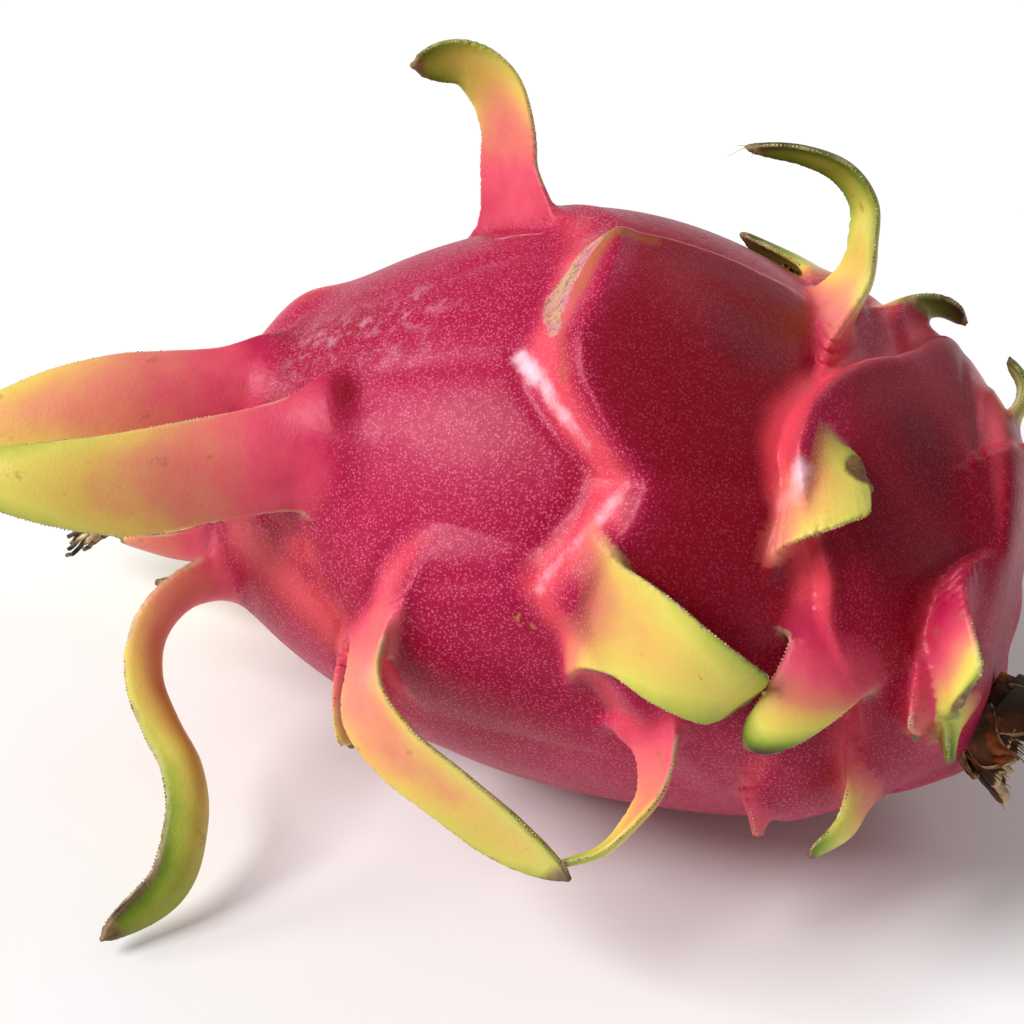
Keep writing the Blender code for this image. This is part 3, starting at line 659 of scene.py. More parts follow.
grid, corner = fine_grid()
net_points, net_quads = surface_nets(grid, corner)
del grid
print("surface nets:", len(net_points), "points,", len(net_quads), "quads")

# %% Thin the mesh and settle it on the surface
MOST_TRIANGLES = 190_000
MOST_MOVE = 0.35


def gradient(points, gap=0.12):
    """Direction in which the field grows, and how fast."""
    found = []
    for k in range(3):
        step = np.eye(3)[k] * gap
        ahead, behind = (in_batches(fruit_field, points + move) for move in (step, -step))
        found.append((ahead - behind) / (2 * gap))
    return np.stack(found, 1)


def settled_fruit():
    obj = add_object("fruit_skin", mesh_from("fruit_skin", net_points, net_quads))
    thin = obj.modifiers.new("thin", "DECIMATE")
    thin.ratio = min(1.0, MOST_TRIANGLES / (2 * len(net_quads)))
    thin.use_collapse_triangulate = True
    done = bake(obj)
    points = points_of(done)
    slope = gradient(points)
    for _ in range(2):
        size = np.clip((slope ** 2).sum(1), 0.05, None)
        move = (in_batches(fruit_field, points) / size)[:, None] * slope
        far = np.linalg.norm(move, axis=1)
        points -= move * np.clip(MOST_MOVE / np.maximum(far, 1e-9), None, 1)[:, None]
    done.vertices.foreach_set("co", (points * MM).astype(np.float32).ravel())
    done.update()
    return obj, points


fruit, skin_points = settled_fruit()
print("fruit:", len(fruit.data.polygons), "triangles")

# %% [markdown]
# ## What the finish needs to know
# Each point of the mesh is told where on the fruit it is: how far it belongs to a scale, how ripe its colour
# is there, how close to the scale's margin and to its dry tip it lies, and whether it is on a ridge, in a
# dark part of the rind that is darker pigment and painted shade, on a blemish, or under a painted highlight
# or painted sheen.

# %% Marks on the mesh
# How near the nearest scale a point has to be, to belong to it.
LEAF_SKIN = 1.5
# Blemishes and painted light: (station, angle) paths, how wide and how strong.  A scar is torn and corky, a
# stain is olive, a tan spot is a dried graze, a blush is paler rind, pale streaks along the ridges are
# painted highlights, and a scuff is rubbed white skin with painted sheen over it.
BLEMISHES_AND_PAINTED_LIGHT = {
    "scar": [([(-5.8, 91.5), (-6.8, 86), (-7.6, 80), (-7.4, 76)], 1.9, 1.0),
             ([(-7.2, 75), (-5.4, 70)], 1.0, 1.0)],
    "stain": [([(-3.4, 91), (-4.2, 85), (-4.4, 78)], 2.1, 0.85),
              ([(-4.4, 78), (-4.0, 68), (-2, 61)], 1.3, 0.5), ([(-3, 91), (3, 92)], 1.8, 0.7)],
    "tan": [([(-2, 18), (0, 17)], 1.2, 0.62), ([(-11, 15), (-10, 15)], 1.0, 0.6)],
    "blush": [([(-50, 8), (-42, 5), (-33, 0), (-30, -5)], 4.0, 0.9), ([(-41, 17), (-37, 14)], 2.5, 0.6),
              ([(-58, 110), (-50, 112)], 4.0, 0.7)],
    "painted_highlight": [([(-10.2, 66.4), (-6.4, 62)], 1.7, 1.0), ([(-8.0, 64), (-4.4, 59.6), (0.4, 54)], 1.4, 0.85),
            ([(-2, 57), (3.4, 51)], 1.2, 0.7), ([(10, 45.6), (7.4, 39)], 1.5, 0.8),
            ([(9.2, 43.4), (6, 36), (3, 30.6)], 1.5, 0.65), ([(4, 33), (0.6, 24.4)], 1.6, 0.55),
            ([(32, 58), (31.6, 53)], 2.2, 1.0), ([(-23, 106), (-17, 108)], 1.0, 0.6),
            ([(-36, 62), (-29, 66), (-22, 68)], 4.0, 0.35)],
    "scuff_and_sheen": [([(-44, 72), (-36, 75), (-28, 79)], 5.0, 0.7), ([(17, 12), (20, 12)], 0.8, 0.9)],
}


def mark(mesh, name, values):
    layer = mesh.attributes.new(name, "FLOAT", "POINT")
    layer.data.foreach_set("value", np.asarray(values, np.float32))


def marks_of(points):
    """What the finish reads at each point, by name."""
    body = body_field(points)
    leafy, ripe, margin, dried, torn = np.zeros((5, len(points)))
    best = np.full(len(points), 1e9)
    for leaf in LEAVES:
        near = leaf.around(points)
        distance, run, place, _ = leaf.measure(points[near])
        mine = distance < best[near]
        n = near[mine]
        distance, run, place = distance[mine], run[mine], place[mine]
        best[n] = distance
        share = np.clip(run / leaf.length, 0, 1)
        across = np.clip(place, -1, 1)
        root, tip, bend = leaf.scale["tint"]
        leafy[n] = smoothstep(0.5 + (body[n] - distance) / 6.0) * smoothstep((run + 2.5) / 5)
        ripe[n] = root + (tip - root) * share ** bend + leaf.scale["lean"] * across * share
        margin[n] = np.clip(np.abs(place), 0, 1.2) * smoothstep((run - 1) / 5)
        dried[n] = smoothstep((share - 0.9) / 0.1)
        if "torn" in leaf.scale:
            torn_share, torn_place, reach = leaf.scale["torn"]
            torn[n] = band(share - torn_share, reach) * band(across - torn_place, reach * 2.4)
    leafy *= best < LEAF_SKIN
    x, angle, _ = skin_place(points)
    radius = BODY_RADIUS * shape_factor(np.clip(x, -68, 62))
    marks = dict(leafy=leafy, ripe=ripe, margin=margin, dried=dried,
                 ridge=look_up(RIDGE, x, angle), dark_rind_and_shade=look_up(DARK_RIND_AND_SHADE, x, angle))
    for kind, spots in BLEMISHES_AND_PAINTED_LIGHT.items():
        marks[kind] = torn * leafy * (kind == "scar")
        for path, width, strength in spots:
            near = distance_to(path, x, turned(angle), radius)
            marks[kind] = np.maximum(marks[kind], strength * band(near, width))
    return marks


for name, values in marks_of(skin_points).items():
    mark(fruit.data, name, values)
normals = gradient(skin_points, 0.2)
normals /= np.maximum(np.linalg.norm(normals, axis=1), 1e-9)[:, None]
fruit.data.shade_smooth()
plain_normals = np.array([vertex.normal for vertex in fruit.data.vertices])
astray = (normals * plain_normals).sum(1) < 0.5
normals[astray] = plain_normals[astray]
fruit.data.normals_split_custom_set_from_vertices([tuple(n) for n in normals])

# %% [markdown]
# ## The finish of the skin
# The rind is crimson with a fine pale stipple and a waxy shine, darker where darker pigment and painted shade
# lie, with painted highlight streaks and painted sheen.  The ridges are coral.  A scale turns from pink
# through peach and yellow to green and dries brown at its tip; its margin is nibbled and pale.

# %% Helpers for materials


def colour(code):
    """A linear colour from a hex code."""
    values = [int(code[i:i + 2], 16) / 255 for i in (1, 3, 5)]
    return tuple(v / 12.92 if v <= 0.04045 else ((v + 0.055) / 1.055) ** 2.4 for v in values) + (1.0,)


class Finish:
    """A material under construction."""

    def __init__(self, name):
        self.material = bpy.data.materials.new(name)
        self.material.use_nodes = True
        self.tree = self.material.node_tree
        self.shader = self.tree.nodes["Principled BSDF"]
        self.place = self.tree.nodes.new("ShaderNodeTexCoord").outputs["Object"]

    def link(self, value, socket):
        if isinstance(value, bpy.types.NodeSocket):
            self.tree.links.new(value, socket)
        else:
            socket.default_value = value

    def node(self, kind, **values):
        """A new node with the inputs named filled in."""
        node = self.tree.nodes.new(kind)
        for name, value in values.items():
            self.link(value, node.inputs[name])
        return node

    def attribute(self, name):
        node = self.node("ShaderNodeAttribute")
        node.attribute_name = name
        return node.outputs["Fac"]

    def noise(self, scale, detail=3.0, roughness=0.5, distortion=0.0):
        return self.node("ShaderNodeTexNoise", Scale=scale, Detail=detail, Roughness=roughness,
                         Distortion=distortion, Vector=self.place).outputs["Fac"]

    def cells(self, scale):
        return self.node("ShaderNodeTexVoronoi", Scale=scale, Vector=self.place).outputs["Distance"]

    def math(self, kind, a, b=0.0):
        node = self.node("ShaderNodeMath")
        node.operation = kind
        self.link(a, node.inputs[0])
        self.link(b, node.inputs[1])
        return node.outputs[0]

    def times(self, a, b):
        return self.math("MULTIPLY", a, b)

    def sway(self, value, texture, amount):
        """A value moved up and down by a texture."""
        return self.math("ADD", value, self.times(self.math("SUBTRACT", texture, 0.5), amount))

    def rescale(self, value, low, high, to_low=0.0, to_high=1.0):
        node = self.node("ShaderNodeMapRange")
        node.interpolation_type = "SMOOTHSTEP"
        for socket, v in zip(node.inputs, (value, low, high, to_low, to_high)):
            self.link(v, socket)
        return node.outputs[0]

    def mix(self, share, a, b):
        """A colour that is a where the share is 0 and b where it is 1."""
        node = self.node("ShaderNodeMix", Factor=share)
        node.data_type = "RGBA"
        for name, value in (("A", a), ("B", b)):
            value = colour(value) if isinstance(value, str) else value
            self.link(value, [s for s in node.inputs if s.name == name and s.type == "RGBA"][0])
        return [s for s in node.outputs if s.type == "RGBA"][0]

    def ramp(self, value, stops):
        node = self.node("ShaderNodeValToRGB", Fac=value)
        elements = node.color_ramp.elements
        for element, (position, code) in zip(elements, (stops[0], stops[-1])):
            element.position, element.color = position, colour(code)
        for position, code in stops[1:-1]:
            elements.new(position).color = colour(code)
        return node.outputs["Color"]

    def bump(self, height, distance, strength, under=None):
        node = self.node("ShaderNodeBump", Strength=strength, Distance=distance, Height=height)
        if under is not None:
            self.link(under, node.inputs["Normal"])
        return node.outputs["Normal"]

    def finish(self, base, roughness, **others):
        for name, value in dict(others, Base_Color=base, Roughness=roughness).items():
            self.link(value, self.shader.inputs[name.replace("_", " ")])
        return self.material


# %% Skin material


def rind_colour(f, broad, middle, ridge):
    """Crimson, darker with deeper pigment and painted shade, coral on its ridges, with pale dots, blemishes,
    painted highlight streaks and painted sheen.
    """
    # Darker rind and painted shade, read from the chart.
    dark_rind_and_shade = f.attribute("dark_rind_and_shade")
    rind = f.mix(f.rescale(broad, 0.35, 0.65), "#98072D", "#A81240")
    rind = f.mix(f.rescale(f.sway(dark_rind_and_shade, middle, 0.3), 0.1, 1.0), rind, "#800016")
    rind = f.mix(f.rescale(dark_rind_and_shade, 0.9, 1.5), rind, "#4E000C")
    # Coral on the ridges; along the roof line this coral is a painted highlight.
    rind = f.mix(f.rescale(f.sway(ridge, middle, 0.4), 0.2, 1.0), rind, "#D84352")
    dots = f.rescale(f.cells(2400), 0.14, 0.5, 1.0, 0.0)
    dots = f.times(dots, f.rescale(f.noise(600, 2), 0.25, 0.6, 0.4, 1.0))
    rind = f.mix(f.times(dots, f.rescale(dark_rind_and_shade, 0.0, 0.8, 0.6, 0.15)), rind, "#E87098")
    rind = f.mix(f.times(f.attribute("blush"), 0.75), rind, "#DC5256")
    stained = f.mix(f.rescale(broad, 0.4, 0.6), "#8A6418", "#B2481C")
    rind = f.mix(f.rescale(f.sway(f.attribute("stain"), middle, 0.7), 0.2, 1.0, 0.0, 0.9), rind, stained)
    grazed = f.sway(f.attribute("tan"), f.noise(1300, 3), 1.6)
    rind = f.mix(f.rescale(grazed, 0.5, 0.75, 0.0, 0.75), rind, "#B8824A")
    # A rubbed whitish zone on the upper left, partly real rubbing and partly painted sheen.
    scuffed_sheen = f.times(f.attribute("scuff_and_sheen"), f.rescale(f.noise(420, 5, 0.7), 0.45, 0.7))
    rind = f.mix(f.times(scuffed_sheen, 0.55), rind, "#E6B4C8")
    # Pale streaks along the ridges are painted highlights.
    painted_highlight = f.sway(f.sway(f.attribute("painted_highlight"), f.noise(300, 5, 0.75), 1.1), broad, 1.1)
    return f.mix(f.rescale(painted_highlight, 0.3, 1.25, 0.0, 0.95), rind, "#F6CBD9")


def blade_colour(f, broad, middle, small):
    """Pink through peach and yellow to green and brown, with flecks, a nibbled margin and a withered tip."""
    ripe, margin = f.attribute("ripe"), f.attribute("margin")
    rim = f.math("SUBTRACT", f.times(margin, margin), 0.35)
    age = f.sway(f.sway(ripe, middle, 0.16), broad, 0.15)
    age = f.math("ADD", age, f.times(rim, f.rescale(ripe, 0.1, 0.4, 0.0, 0.17)))
    blade = f.ramp(age, [(0.0, "#B81E48"), (0.12, "#DE5266"), (0.26, "#E08A68"), (0.38, "#E4BC5E"),
                         (0.5, "#DACE5E"), (0.64, "#A8B244"), (0.78, "#64801F"), (0.9, "#47481A"),
                         (1.0, "#2E2014")])
    fleck = f.rescale(f.noise(260, 4, 0.65), 0.62, 0.72)
    blade = f.mix(f.times(fleck, 0.45), blade, "#9A6A38")
    nibbled = f.rescale(f.sway(margin, small, 0.12), 0.93, 1.0)
    nibbled = f.times(nibbled, f.rescale(f.noise(330, 3), 0.35, 0.65, 0.1, 0.8))
    blade = f.mix(nibbled, blade, f.mix(small, "#E9DDAE", "#8A6A3A"))
    withered = f.rescale(f.sway(f.attribute("dried"), middle, 0.8), 0.35, 0.9)
    return f.mix(withered, blade, f.mix(small, "#2A1A10", "#A08858"))


def skin_material():
    f = Finish("skin")
    leafy, ridge = f.attribute("leafy"), f.attribute("ridge")
    broad, middle, small = f.noise(28, 3), f.noise(160, 4, 0.6), f.noise(900, 3)
    base = f.mix(leafy, rind_colour(f, broad, middle, ridge), blade_colour(f, broad, middle, small))

    lines = f.math("ABSOLUTE", f.math("SUBTRACT", f.noise(330, 4, 0.6, distortion=1.5), 0.5))
    crack = f.rescale(lines, 0.004, 0.03, 1.0, 0.0)
    pinkish = f.times(f.rescale(f.noise(240, 4, 0.6), 0.4, 0.62), f.math("SUBTRACT", 1.0, leafy))
    cork = f.mix(pinkish, f.mix(leafy, "#C79A6A", "#6A5228"), "#C8788A")
    cork = f.mix(f.times(crack, 0.75), cork, "#5A3420")
    torn = f.rescale(f.sway(f.attribute("scar"), middle, 0.7), 0.3, 0.55)
    base = f.mix(torn, base, cork)

    normal = f.bump(f.noise(70, 2), 0.0006, 0.35)
    normal = f.bump(f.cells(2100), 0.00005, 0.5, normal)
    normal = f.bump(f.noise(1400, 3), 0.00006, 0.4, normal)
    normal = f.bump(f.times(torn, crack), 0.0005, -1.0, normal)
    rough = f.math("SUBTRACT", f.rescale(small, 0.2, 0.8, 0.38, 0.5), f.times(ridge, 0.12))
    return f.finish(base, rough, Normal=normal, Specular_IOR_Level=0.34,
                    Specular_Tint=(1.0, 0.45, 0.54, 1.0), Coat_Weight=0.04, Coat_Roughness=0.18)


skin = skin_material()
fruit.data.materials.clear()
fruit.data.materials.append(skin)
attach(fruit, "root")
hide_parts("fruit")

# %% [markdown]
# ## The cut stem
# What is left of the stem is a short woody tube, fluted outside, torn at its rim and hollow, with shards of
# bark that stand up round it.  It leans towards the front.

# %% Woody stem
STEM_PLACE = np.array([STEM_END + 0.1, -14.2, 30.6])
STEM_LEAN = np.array([1.0, -0.35, -0.3])
STEM_STUB, STEM_RADIUS = 6.5, 7.0
SHARD_THICKNESS = 0.5
# Bark shards: turn round the stem, where it starts along it, length, width and how far it bends outward.
SHARDS = [(100, 1, 9, 8, 2.5), (60, 0, 7, 6, 3.5), (150, 0, 8, 7, 3), (200, -0.5, 5, 5, 1),
          (250, 0, 4.5, 6, 1), (300, 0.5, 5, 5, 1), (20, 1, 6, 5, 1.5)]


def stem_frame():
    """Unit vectors along the stem, sideways and up."""
    along = STEM_LEAN / np.linalg.norm(STEM_LEAN)
    side = np.cross([0, 0, 1.0], along)
    side /= np.linalg.norm(side)
    return along, side, np.cross(along, side)


ALONG_STEM, STEM_SIDE, STEM_UP = stem_frame()


def round_stem(turn):
    """Unit vectors away from the stem's axis, at turns in radians."""
    return STEM_SIDE * np.cos(turn)[..., None] + STEM_UP * np.sin(turn)[..., None]


def split(quads):
    """Triangles from quads."""
    quads = np.asarray(quads)
    return np.concatenate([quads[:, [0, 1, 2]], quads[:, [0, 2, 3]]])


def tube_quads(rings, sides):
    i, j = np.meshgrid(np.arange(rings - 1), np.arange(sides), indexing="ij")
    a, b = i * sides + j, i * sides + (j + 1) % sides
    return np.stack([a, b, b + sides, a + sides], -1).reshape(-1, 4)


def plate(grid, thickness):
    """A closed plate of even thickness on a grid of points."""
    rows, columns = grid.shape[:2]
    across, along = np.gradient(grid, axis=1), np.gradient(grid, axis=0)
    normal = np.cross(along, across)
    normal /= np.linalg.norm(normal, axis=2)[..., None]
    top, under = grid + normal * thickness / 2, grid - normal * thickness / 2
    points = np.concatenate([top.reshape(-1, 3), under.reshape(-1, 3)])
    number = np.arange(rows * columns).reshape(rows, columns)
    face = np.stack([number[:-1, :-1], number[:-1, 1:], number[1:, 1:], number[1:, :-1]], -1)
    face = face.reshape(-1, 4)
    rim = np.concatenate([number[0, :], number[1:, -1], number[-1, -2::-1], number[-2:0:-1, 0]])
    after, count = np.roll(rim, -1), rows * columns
    side = np.stack([after, rim, rim + count, after + count], -1)
    return points, split(np.concatenate([face[:, ::-1], face + count, side]))


def stem_tube():
    """Points and triangles of the hollow stub, with how torn and how hollow it is at each point."""
    turn = np.linspace(0, 2 * math.pi, 96, endpoint=False)
    flutes = 1 + 0.09 * np.cos(5 * turn) + 0.05 * np.cos(11 * turn + 1) + 0.025 * np.cos(23 * turn + 2)
    rim = STEM_STUB + 1.8 * np.sin(2 * turn + 0.4) + 1.0 * np.sin(7 * turn) + 0.6 * np.sin(17 * turn + 1)
    # Rings out along the wall, over the rim and back down inside: share of the way, and share of the radius.
    rings = [(-0.25, 0.9), (0, 0.94), (0.2, 0.96), (0.4, 0.98), (0.6, 1.02), (0.8, 1.07), (0.93, 1.11),
             (1.0, 1.1), (1.02, 1.02), (0.96, 0.9), (0.8, 0.82), (0.6, 0.74), (0.45, 0.62), (0.38, 0.4),
             (0.36, 0.15)]
    outer_rings = 9
    rows = []
    for share, size in rings:
        rough = 1 + 0.02 * np.sin(31 * turn + 9 * share)
        reach = (STEM_RADIUS * size * flutes * rough)[:, None]
        rows.append(STEM_PLACE + ALONG_STEM * (rim * share)[:, None] + round_stem(turn) * reach)
    points = np.concatenate(rows + [rows[0].mean(0)[None], rows[-1].mean(0)[None]])
    count, last = len(rings) * len(turn), (len(rings) - 1) * len(turn)
    j = np.arange(len(turn))
    after = (j + 1) % len(turn)
    caps = [np.stack([after, j, np.full_like(j, count)], 1),
            np.stack([last + j, last + after, np.full_like(j, count + 1)], 1)]
    faces = np.concatenate([split(tube_quads(len(rings), len(turn)))] + caps)
    torn = np.repeat([np.clip(1 - abs(share - 1.0) / 0.2, 0, 1) for share, _ in rings], len(turn))
    hollow = np.repeat(np.arange(len(rings)) >= outer_rings, len(turn))
    return points, faces, np.append(torn, [0, 0]), np.append(hollow, [0, 1])


def shard(degrees, start, length, width, bend):
    """Points and triangles of a bark shard, with how torn it is at each point."""
    s, t = np.meshgrid(np.linspace(0, 1, 12), np.linspace(-1, 1, 9), indexing="ij")
    spread_out = t * (1 - s ** 1.5) * width / (2 * STEM_RADIUS)
    turn = math.radians(degrees) + spread_out + 0.15 * np.sin(5 * s + degrees)
    reach = STEM_RADIUS * 1.06 + bend * s ** 1.7 + 0.35 * np.cos(3 * t + 4 * s)
    along = start + length * s * (1 - 0.08 * np.sin(7 * t + degrees))
    grid = STEM_PLACE + ALONG_STEM * along[..., None] + round_stem(turn) * reach[..., None]
    grid[-1] = grid[-1] * 0.3 + grid[-1].mean(0) * 0.7
    points, faces = plate(grid, SHARD_THICKNESS)
    torn = np.tile(np.clip(np.maximum(s, np.abs(t)).ravel() * 2 - 1.2, 0, 1), 2)
    return points, faces, torn, np.zeros_like(torn)


def woody_stem():
    points, faces, torn, hollow = stem_tube()
    for shape in SHARDS:
        more_points, more_faces, more_torn, more_hollow = shard(*shape)
        faces = np.concatenate([faces, more_faces + len(points)])
        points = np.concatenate([points, more_points])
        torn, hollow = np.append(torn, more_torn), np.append(hollow, more_hollow)
    mesh = mesh_from("woody_stem", points, faces)
    mark(mesh, "torn", torn)
    mark(mesh, "hollow", hollow)
    return add_object("woody_stem", mesh)


def wood_material():
    f = Finish("stem_wood")
    grain, coarse = f.noise(900, 4, 0.6), f.noise(150, 3)
    wood = f.mix(f.rescale(coarse, 0.35, 0.65), "#3A2A18", "#6E4422")
    wood = f.mix(f.rescale(f.noise(240, 3), 0.55, 0.7), wood, "#A65A28")
    wood = f.mix(f.rescale(grain, 0.5, 0.8), wood, "#241A12")
    # The inside of the hollow is painted near black: painted shade.
    wood = f.mix(f.times(f.attribute("hollow"), 0.75), wood, "#1C1512")
    pale = f.sway(f.attribute("torn"), grain, 0.8)
    wood = f.mix(f.rescale(pale, 0.55, 0.95), wood, "#D2B48A")
    return f.finish(wood, 0.72, Normal=f.bump(grain, 0.0004, 0.8), Specular_IOR_Level=0.3)


wood = wood_material()
stem = woody_stem()
stem.data.materials.append(wood)
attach(stem, "root")
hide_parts("cut_stem")
print("stem:", len(stem.data.polygons), "triangles")

# %% [markdown]
# ## Threads along paths
# The withered flower, the fibres of the stem and the hairs at a dry tip are all threads: tapering tubes
# that follow a path and wander a little.  One node tree makes them from a mesh of plain edges.  Another
# scatters crumbs along such paths.

# %% Node trees for threads and crumbs
FULL_TURN = (6.3, 6.3, 6.3)


def node_tree(name, **numbers):
    """A tree with only its inputs, a geometry, some named numbers and a material, and its output."""
    tree = bpy.data.node_groups.new(name, "GeometryNodeTree")
    tree.interface.new_socket("Geometry", in_out="OUTPUT", socket_type="NodeSocketGeometry")
    tree.interface.new_socket("Geometry", in_out="INPUT", socket_type="NodeSocketGeometry")
    for key, value in numbers.items():
        kind = "NodeSocketInt" if isinstance(value, int) else "NodeSocketFloat"
        tree.interface.new_socket(key, in_out="INPUT", socket_type=kind).default_value = value
    tree.interface.new_socket("Material", in_out="INPUT", socket_type="NodeSocketMaterial")
    return tree, tree.nodes.new("NodeGroupInput").outputs


def add_node(tree, kind, settings=None, output=0, **inputs):
    """An output of a new node, with its settings and its inputs, by name or identifier, filled in."""
    node = tree.nodes.new(kind)
    for key, value in (settings or {}).items():
        setattr(node, key, value)
    for key, value in inputs.items():
        wanted = {key, key.replace("_", " ")}
        socket = [s for s in node.inputs if s.enabled and wanted & {s.name, s.identifier}][0]
        if isinstance(value, bpy.types.NodeSocket):
            tree.links.new(value, socket)
        else:
            socket.default_value = value
    return node.outputs[output]


def end_tree(tree, given, shape):
    """Makes a shape real, gives it its material and sends it out."""
    shape = add_node(tree, "GeometryNodeRealizeInstances", Geometry=shape)
    shape = add_node(tree, "GeometryNodeSetMaterial", Geometry=shape, Material=given["Material"])
    tree.links.new(shape, tree.nodes.new("NodeGroupOutput").inputs["Geometry"])
    return tree


def thread_tree():
    tree, given = node_tree("threads", Thickness=0.0005, Wander=0.0005, Step=0.0008, Tip=0.3)
    curve = add_node(tree, "GeometryNodeMeshToCurve", Mesh=given["Geometry"])
    curve = add_node(tree, "GeometryNodeResampleCurve", {"mode": "LENGTH"}, Curve=curve, Length=given["Step"])
    noise = add_node(tree, "ShaderNodeTexNoise", output="Color", Scale=420.0, Detail=2.0)
    centred = add_node(tree, "ShaderNodeVectorMath", {"operation": "SUBTRACT"}, Vector=noise,
                       Vector_001=(0.5, 0.5, 0.5))
    moved = add_node(tree, "ShaderNodeVectorMath", {"operation": "SCALE"}, Vector=centred,
                     Scale=given["Wander"])
    curve = add_node(tree, "GeometryNodeSetPosition", Geometry=curve, Offset=moved)
    along = add_node(tree, "GeometryNodeSplineParameter", output="Factor")
    taper = add_node(tree, "ShaderNodeMapRange", Value=along, To_Min=1.0, To_Max=given["Tip"])
    ring = add_node(tree, "GeometryNodeCurvePrimitiveCircle", Resolution=6, Radius=given["Thickness"])
    tube = add_node(tree, "GeometryNodeCurveToMesh", Curve=curve, Profile_Curve=ring, Scale=taper,
                    Fill_Caps=True)
    return end_tree(tree, given, tube)


def crumb_tree():
    tree, given = node_tree("crumbs", Spacing=0.0005, Smallest=0.4, Largest=1.0, Size=0.0003, Seed=4)

    def varied(low, high):
        return add_node(tree, "FunctionNodeRandomValue", {"data_type": "FLOAT_VECTOR"}, Min=low, Max=high,
                        Seed=given["Seed"])

    curve = add_node(tree, "GeometryNodeMeshToCurve", Mesh=given["Geometry"])
    points = add_node(tree, "GeometryNodeCurveToPoints", {"mode": "LENGTH"}, Curve=curve,
                      Length=given["Spacing"])
    ball = add_node(tree, "GeometryNodeMeshIcoSphere", Radius=given["Size"], Subdivisions=1)
    least, most = (add_node(tree, "ShaderNodeCombineXYZ", X=given[name], Y=given[name], Z=given[name])
                   for name in ("Smallest", "Largest"))
    placed = add_node(tree, "GeometryNodeInstanceOnPoints", Points=points, Instance=ball,
                      Scale=varied(least, most), Rotation=varied((0, 0, 0), FULL_TURN))
    return end_tree(tree, given, placed)


def grow(name, tree, paths, material, **numbers):
    """A piece grown by a node tree along paths, each an array of points in millimetres."""
    starts = np.cumsum([0] + [len(path) for path in paths])
    edges = [(k, k + 1) for a, b in zip(starts, starts[1:]) for k in range(a, b - 1)]
    wires = bpy.data.meshes.new(name + "_paths")
    wires.from_pydata([tuple(p) for p in np.concatenate(paths) * MM], edges, [])
    obj = add_object(name, wires)
    maker = obj.modifiers.new("grow", "NODES")
    maker.node_group = tree
    given = dict(numbers, Material=material)
    for item in tree.interface.items_tree:
        if item.in_out == "INPUT" and item.name in given:
            maker[item.identifier] = given[item.name]
    done = bake(obj)
    done.name = name
    print(name + ":", len(done.polygons), "faces from", len(paths), "paths")
    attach(obj, "root")
    return obj


threads, crumbs = thread_tree(), crumb_tree()

# %% [markdown]
# ## The withered flower
# Its dry petals have twisted into one ragged rope that bends down from the navel and frays at the end.

# %% Dried flower
FLOWER_SPINE = [(-62.5, -3, 39), (-68, -6, 37), (-74, -10, 33), (-80, -14, 28), (-85, -16, 24)]
FLOWER_THREADS, FLOWER_TURN, LEAST_X = 26, 2.4, -86.5


def flower_paths():
    draw = random.Random(5)
    spine, _ = smooth_path([np.array(place, float) for place in FLOWER_SPINE], STATION_STEP)
    paths = []
    for index in range(FLOWER_THREADS):
        ring = 0.35 if index % 3 == 0 else 1.0
        reach, end = draw.uniform(0.85, 1.1) * ring, draw.uniform(0.75, 1.0)
        path = []
        for k, place in enumerate(spine[:int(len(spine) * end)]):
            t = k / (len(spine) - 1)
            turn = index * FLOWER_TURN + 3.5 * t
            size = (3.0 - 1.0 * t + 1.1 * math.sin(math.pi * t) ** 2 + 2.2 * max(0, t - 0.8)) * reach
            off = np.array([0.45 * math.cos(turn), math.cos(turn), 0.85 * math.sin(turn)])
            path.append(place + off * size)
        path = np.array(path)
        path[:, 0] = np.maximum(path[:, 0], LEAST_X)
        paths.append(path)
    return paths


def withered_material():
    f = Finish("withered_flower")
    patch, grain = f.noise(260, 4, 0.6), f.noise(1500, 3)
    base = f.ramp(f.rescale(patch, 0.3, 0.7),
                  [(0.0, "#2C241E"), (0.35, "#6E5C48"), (0.65, "#B49A72"), (1.0, "#DCC9A0")])
    base = f.mix(f.rescale(grain, 0.6, 0.8), base, "#3A2E24")
    return f.finish(base, 0.8, Normal=f.bump(grain, 0.0002, 0.7), Specular_IOR_Level=0.25)


withered = withered_material()
flower = grow("dried_flower_threads", threads, flower_paths(), withered, Thickness=0.95 * MM, Wander=2.2 * MM,
              Step=0.6 * MM, Tip=0.35)
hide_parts("dried_flower")

# %% [markdown]
# ## Fibres, hairs and crumbs
# Splinters stand on the torn stem, a few hairs on the driest tip, and the thin margins of the scales have
# dried into crumbs of cork.

# %% Fibres, hairs and crumbs
HAIRY_SCALE = "top_stem_side"
FIBRES, HAIRS = 70, 9


def stem_fibres():
    draw = random.Random(8)
    paths = []
    for _ in range(FIBRES):
        turn, start = draw.uniform(0, 2 * math.pi), draw.uniform(0.5, 5)
        length, spread_out = draw.uniform(2, 5.5), draw.uniform(-0.3, 1.6)
        steps = np.linspace(0, 1, 7)
        reach = STEM_RADIUS * (1.02 + 0.02 * start) + spread_out * steps ** 2
        paths.append(STEM_PLACE + ALONG_STEM * (start + length * steps)[:, None]
                     + round_stem(np.array([turn])) * reach[:, None])
    return paths


def tip_hairs():
    draw = random.Random(3)
    leaf = LEAVES[list(SCALES).index(HAIRY_SCALE)]
    paths = []
    for _ in range(HAIRS):
        k = len(leaf.places) - 1 - draw.randrange(3)
        start = leaf.places[k] + leaf.wide[k] * leaf.half[k] * draw.uniform(-0.6, 0.6)
        way = leaf.ahead[k] + np.array([draw.uniform(-1, 1) for _ in range(3)]) * 0.7
        steps = np.linspace(0, draw.uniform(0.6, 1.8), 5)[:, None]
        paths.append(start + way * steps + np.array([0, 0, -0.25]) * steps ** 2)
    return paths


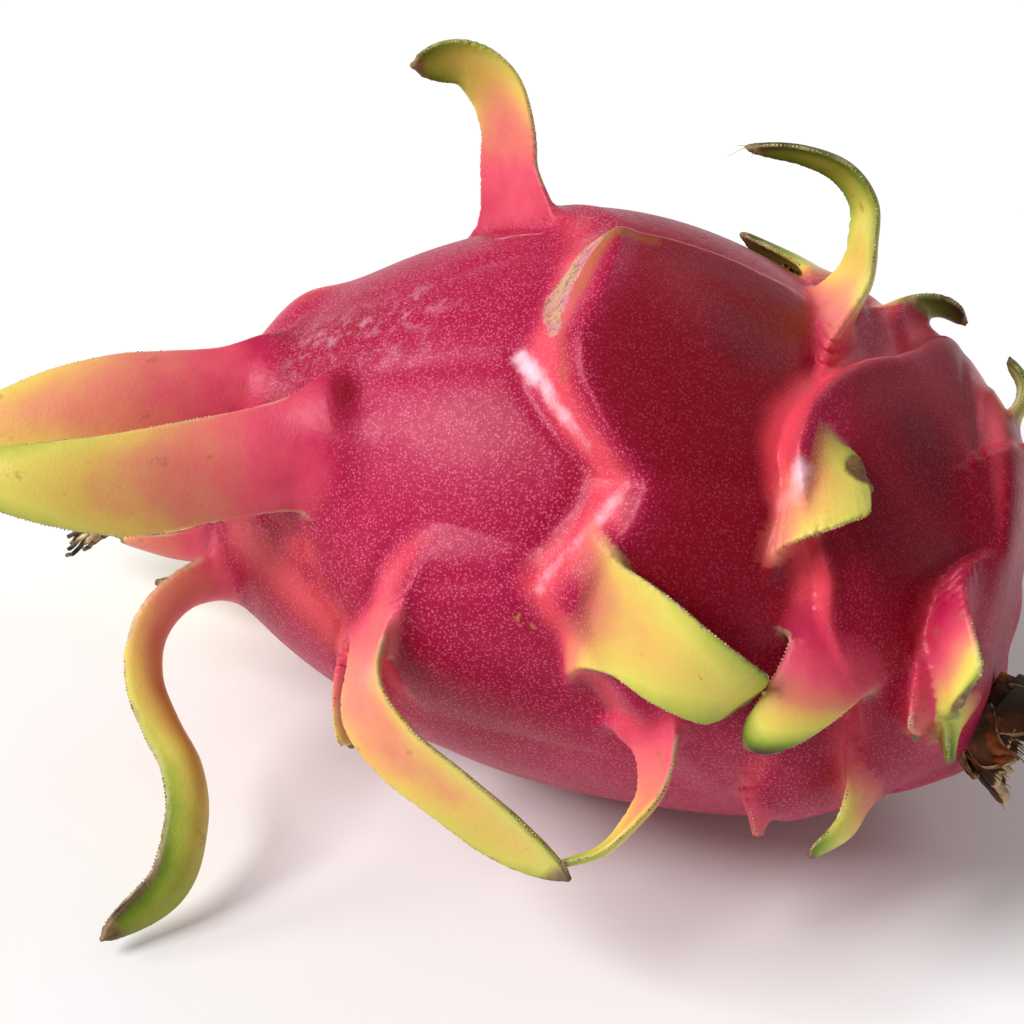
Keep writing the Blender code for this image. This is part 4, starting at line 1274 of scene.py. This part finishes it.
def margin_paths():
    """Lines along both margins of each scale, from a third of its length to near its tip."""
    paths = []
    for leaf in LEAVES:
        chosen = (leaf.run > leaf.length * 0.3) & (leaf.run < leaf.length * 0.985)
        for side in (-1, 1):
            line = (leaf.places + leaf.wide * (leaf.half * side)[:, None]
                    + leaf.thick * (leaf.scale["cup"] * leaf.half)[:, None])[chosen]
            if len(line) > 3 and line[:, 2].min() > 0.8:
                paths.append(line)
    return paths


def crumb_material():
    f = Finish("dried_crumbs")
    base = f.mix(f.rescale(f.noise(500, 3), 0.42, 0.6), "#D8C692", "#6E5A2E")
    return f.finish(base, 0.8, Specular_IOR_Level=0.25)


cork = crumb_material()
grow("stem_fibres", threads, stem_fibres(), wood, Thickness=0.16 * MM, Wander=0.8 * MM,
     Step=0.6 * MM, Tip=0.2)
grow("tip_hairs", threads, tip_hairs(), cork, Thickness=0.06 * MM, Wander=0.5 * MM,
     Step=0.25 * MM, Tip=0.3)
grow("margin_crumbs", crumbs, margin_paths(), cork, Spacing=0.55 * MM, Size=0.19 * MM,
     Smallest=0.25, Largest=1.1)

# %% [markdown]
# ## Floor, light and background
# A wide pale floor and a white room, with a large soft lamp above on the left, a weaker one low beside it
# and a faint one behind on the right.

# %% Studio
ROOM_LIGHT = 0.27
FLOOR_HALF = 3000
# Each lamp: where it shines from, its strength and its softness in degrees.
LAMPS = [("key", (-0.62, -0.36, 0.72), 2.9, 28), ("side", (-0.89, -0.14, 0.42), 0.75, 16),
         ("rim", (0.35, 0.75, 0.65), 0.5, 40)]


def studio():
    corners = FLOOR_HALF * np.array([(-1, -1, 0), (1, -1, 0), (1, 1, 0), (-1, 1, 0)])
    floor = add_object("floor", mesh_from("floor", corners, np.array([[0, 1, 2, 3]])))
    f = Finish("floor_paper")
    pale = f.mix(f.noise(40, 2), (0.9, 0.9, 0.9, 1), (0.93, 0.93, 0.93, 1))
    floor.data.materials.append(f.finish(pale, 0.9))
    world = bpy.data.worlds.new("room")
    bpy.context.scene.world = world
    world.use_nodes = True
    background = world.node_tree.nodes["Background"].inputs
    background["Color"].default_value = (1, 1, 1, 1)
    background["Strength"].default_value = ROOM_LIGHT
    for name, place, strength, softness in LAMPS:
        light = bpy.data.objects.new(name, bpy.data.lights.new(name, "SUN"))
        light.data.energy = strength
        light.data.angle = math.radians(softness)
        light.rotation_euler = Vector(place).to_track_quat("Z", "Y").to_euler()
        bpy.context.scene.collection.objects.link(light)


studio()
bpy.context.scene.view_settings.view_transform = "Standard"
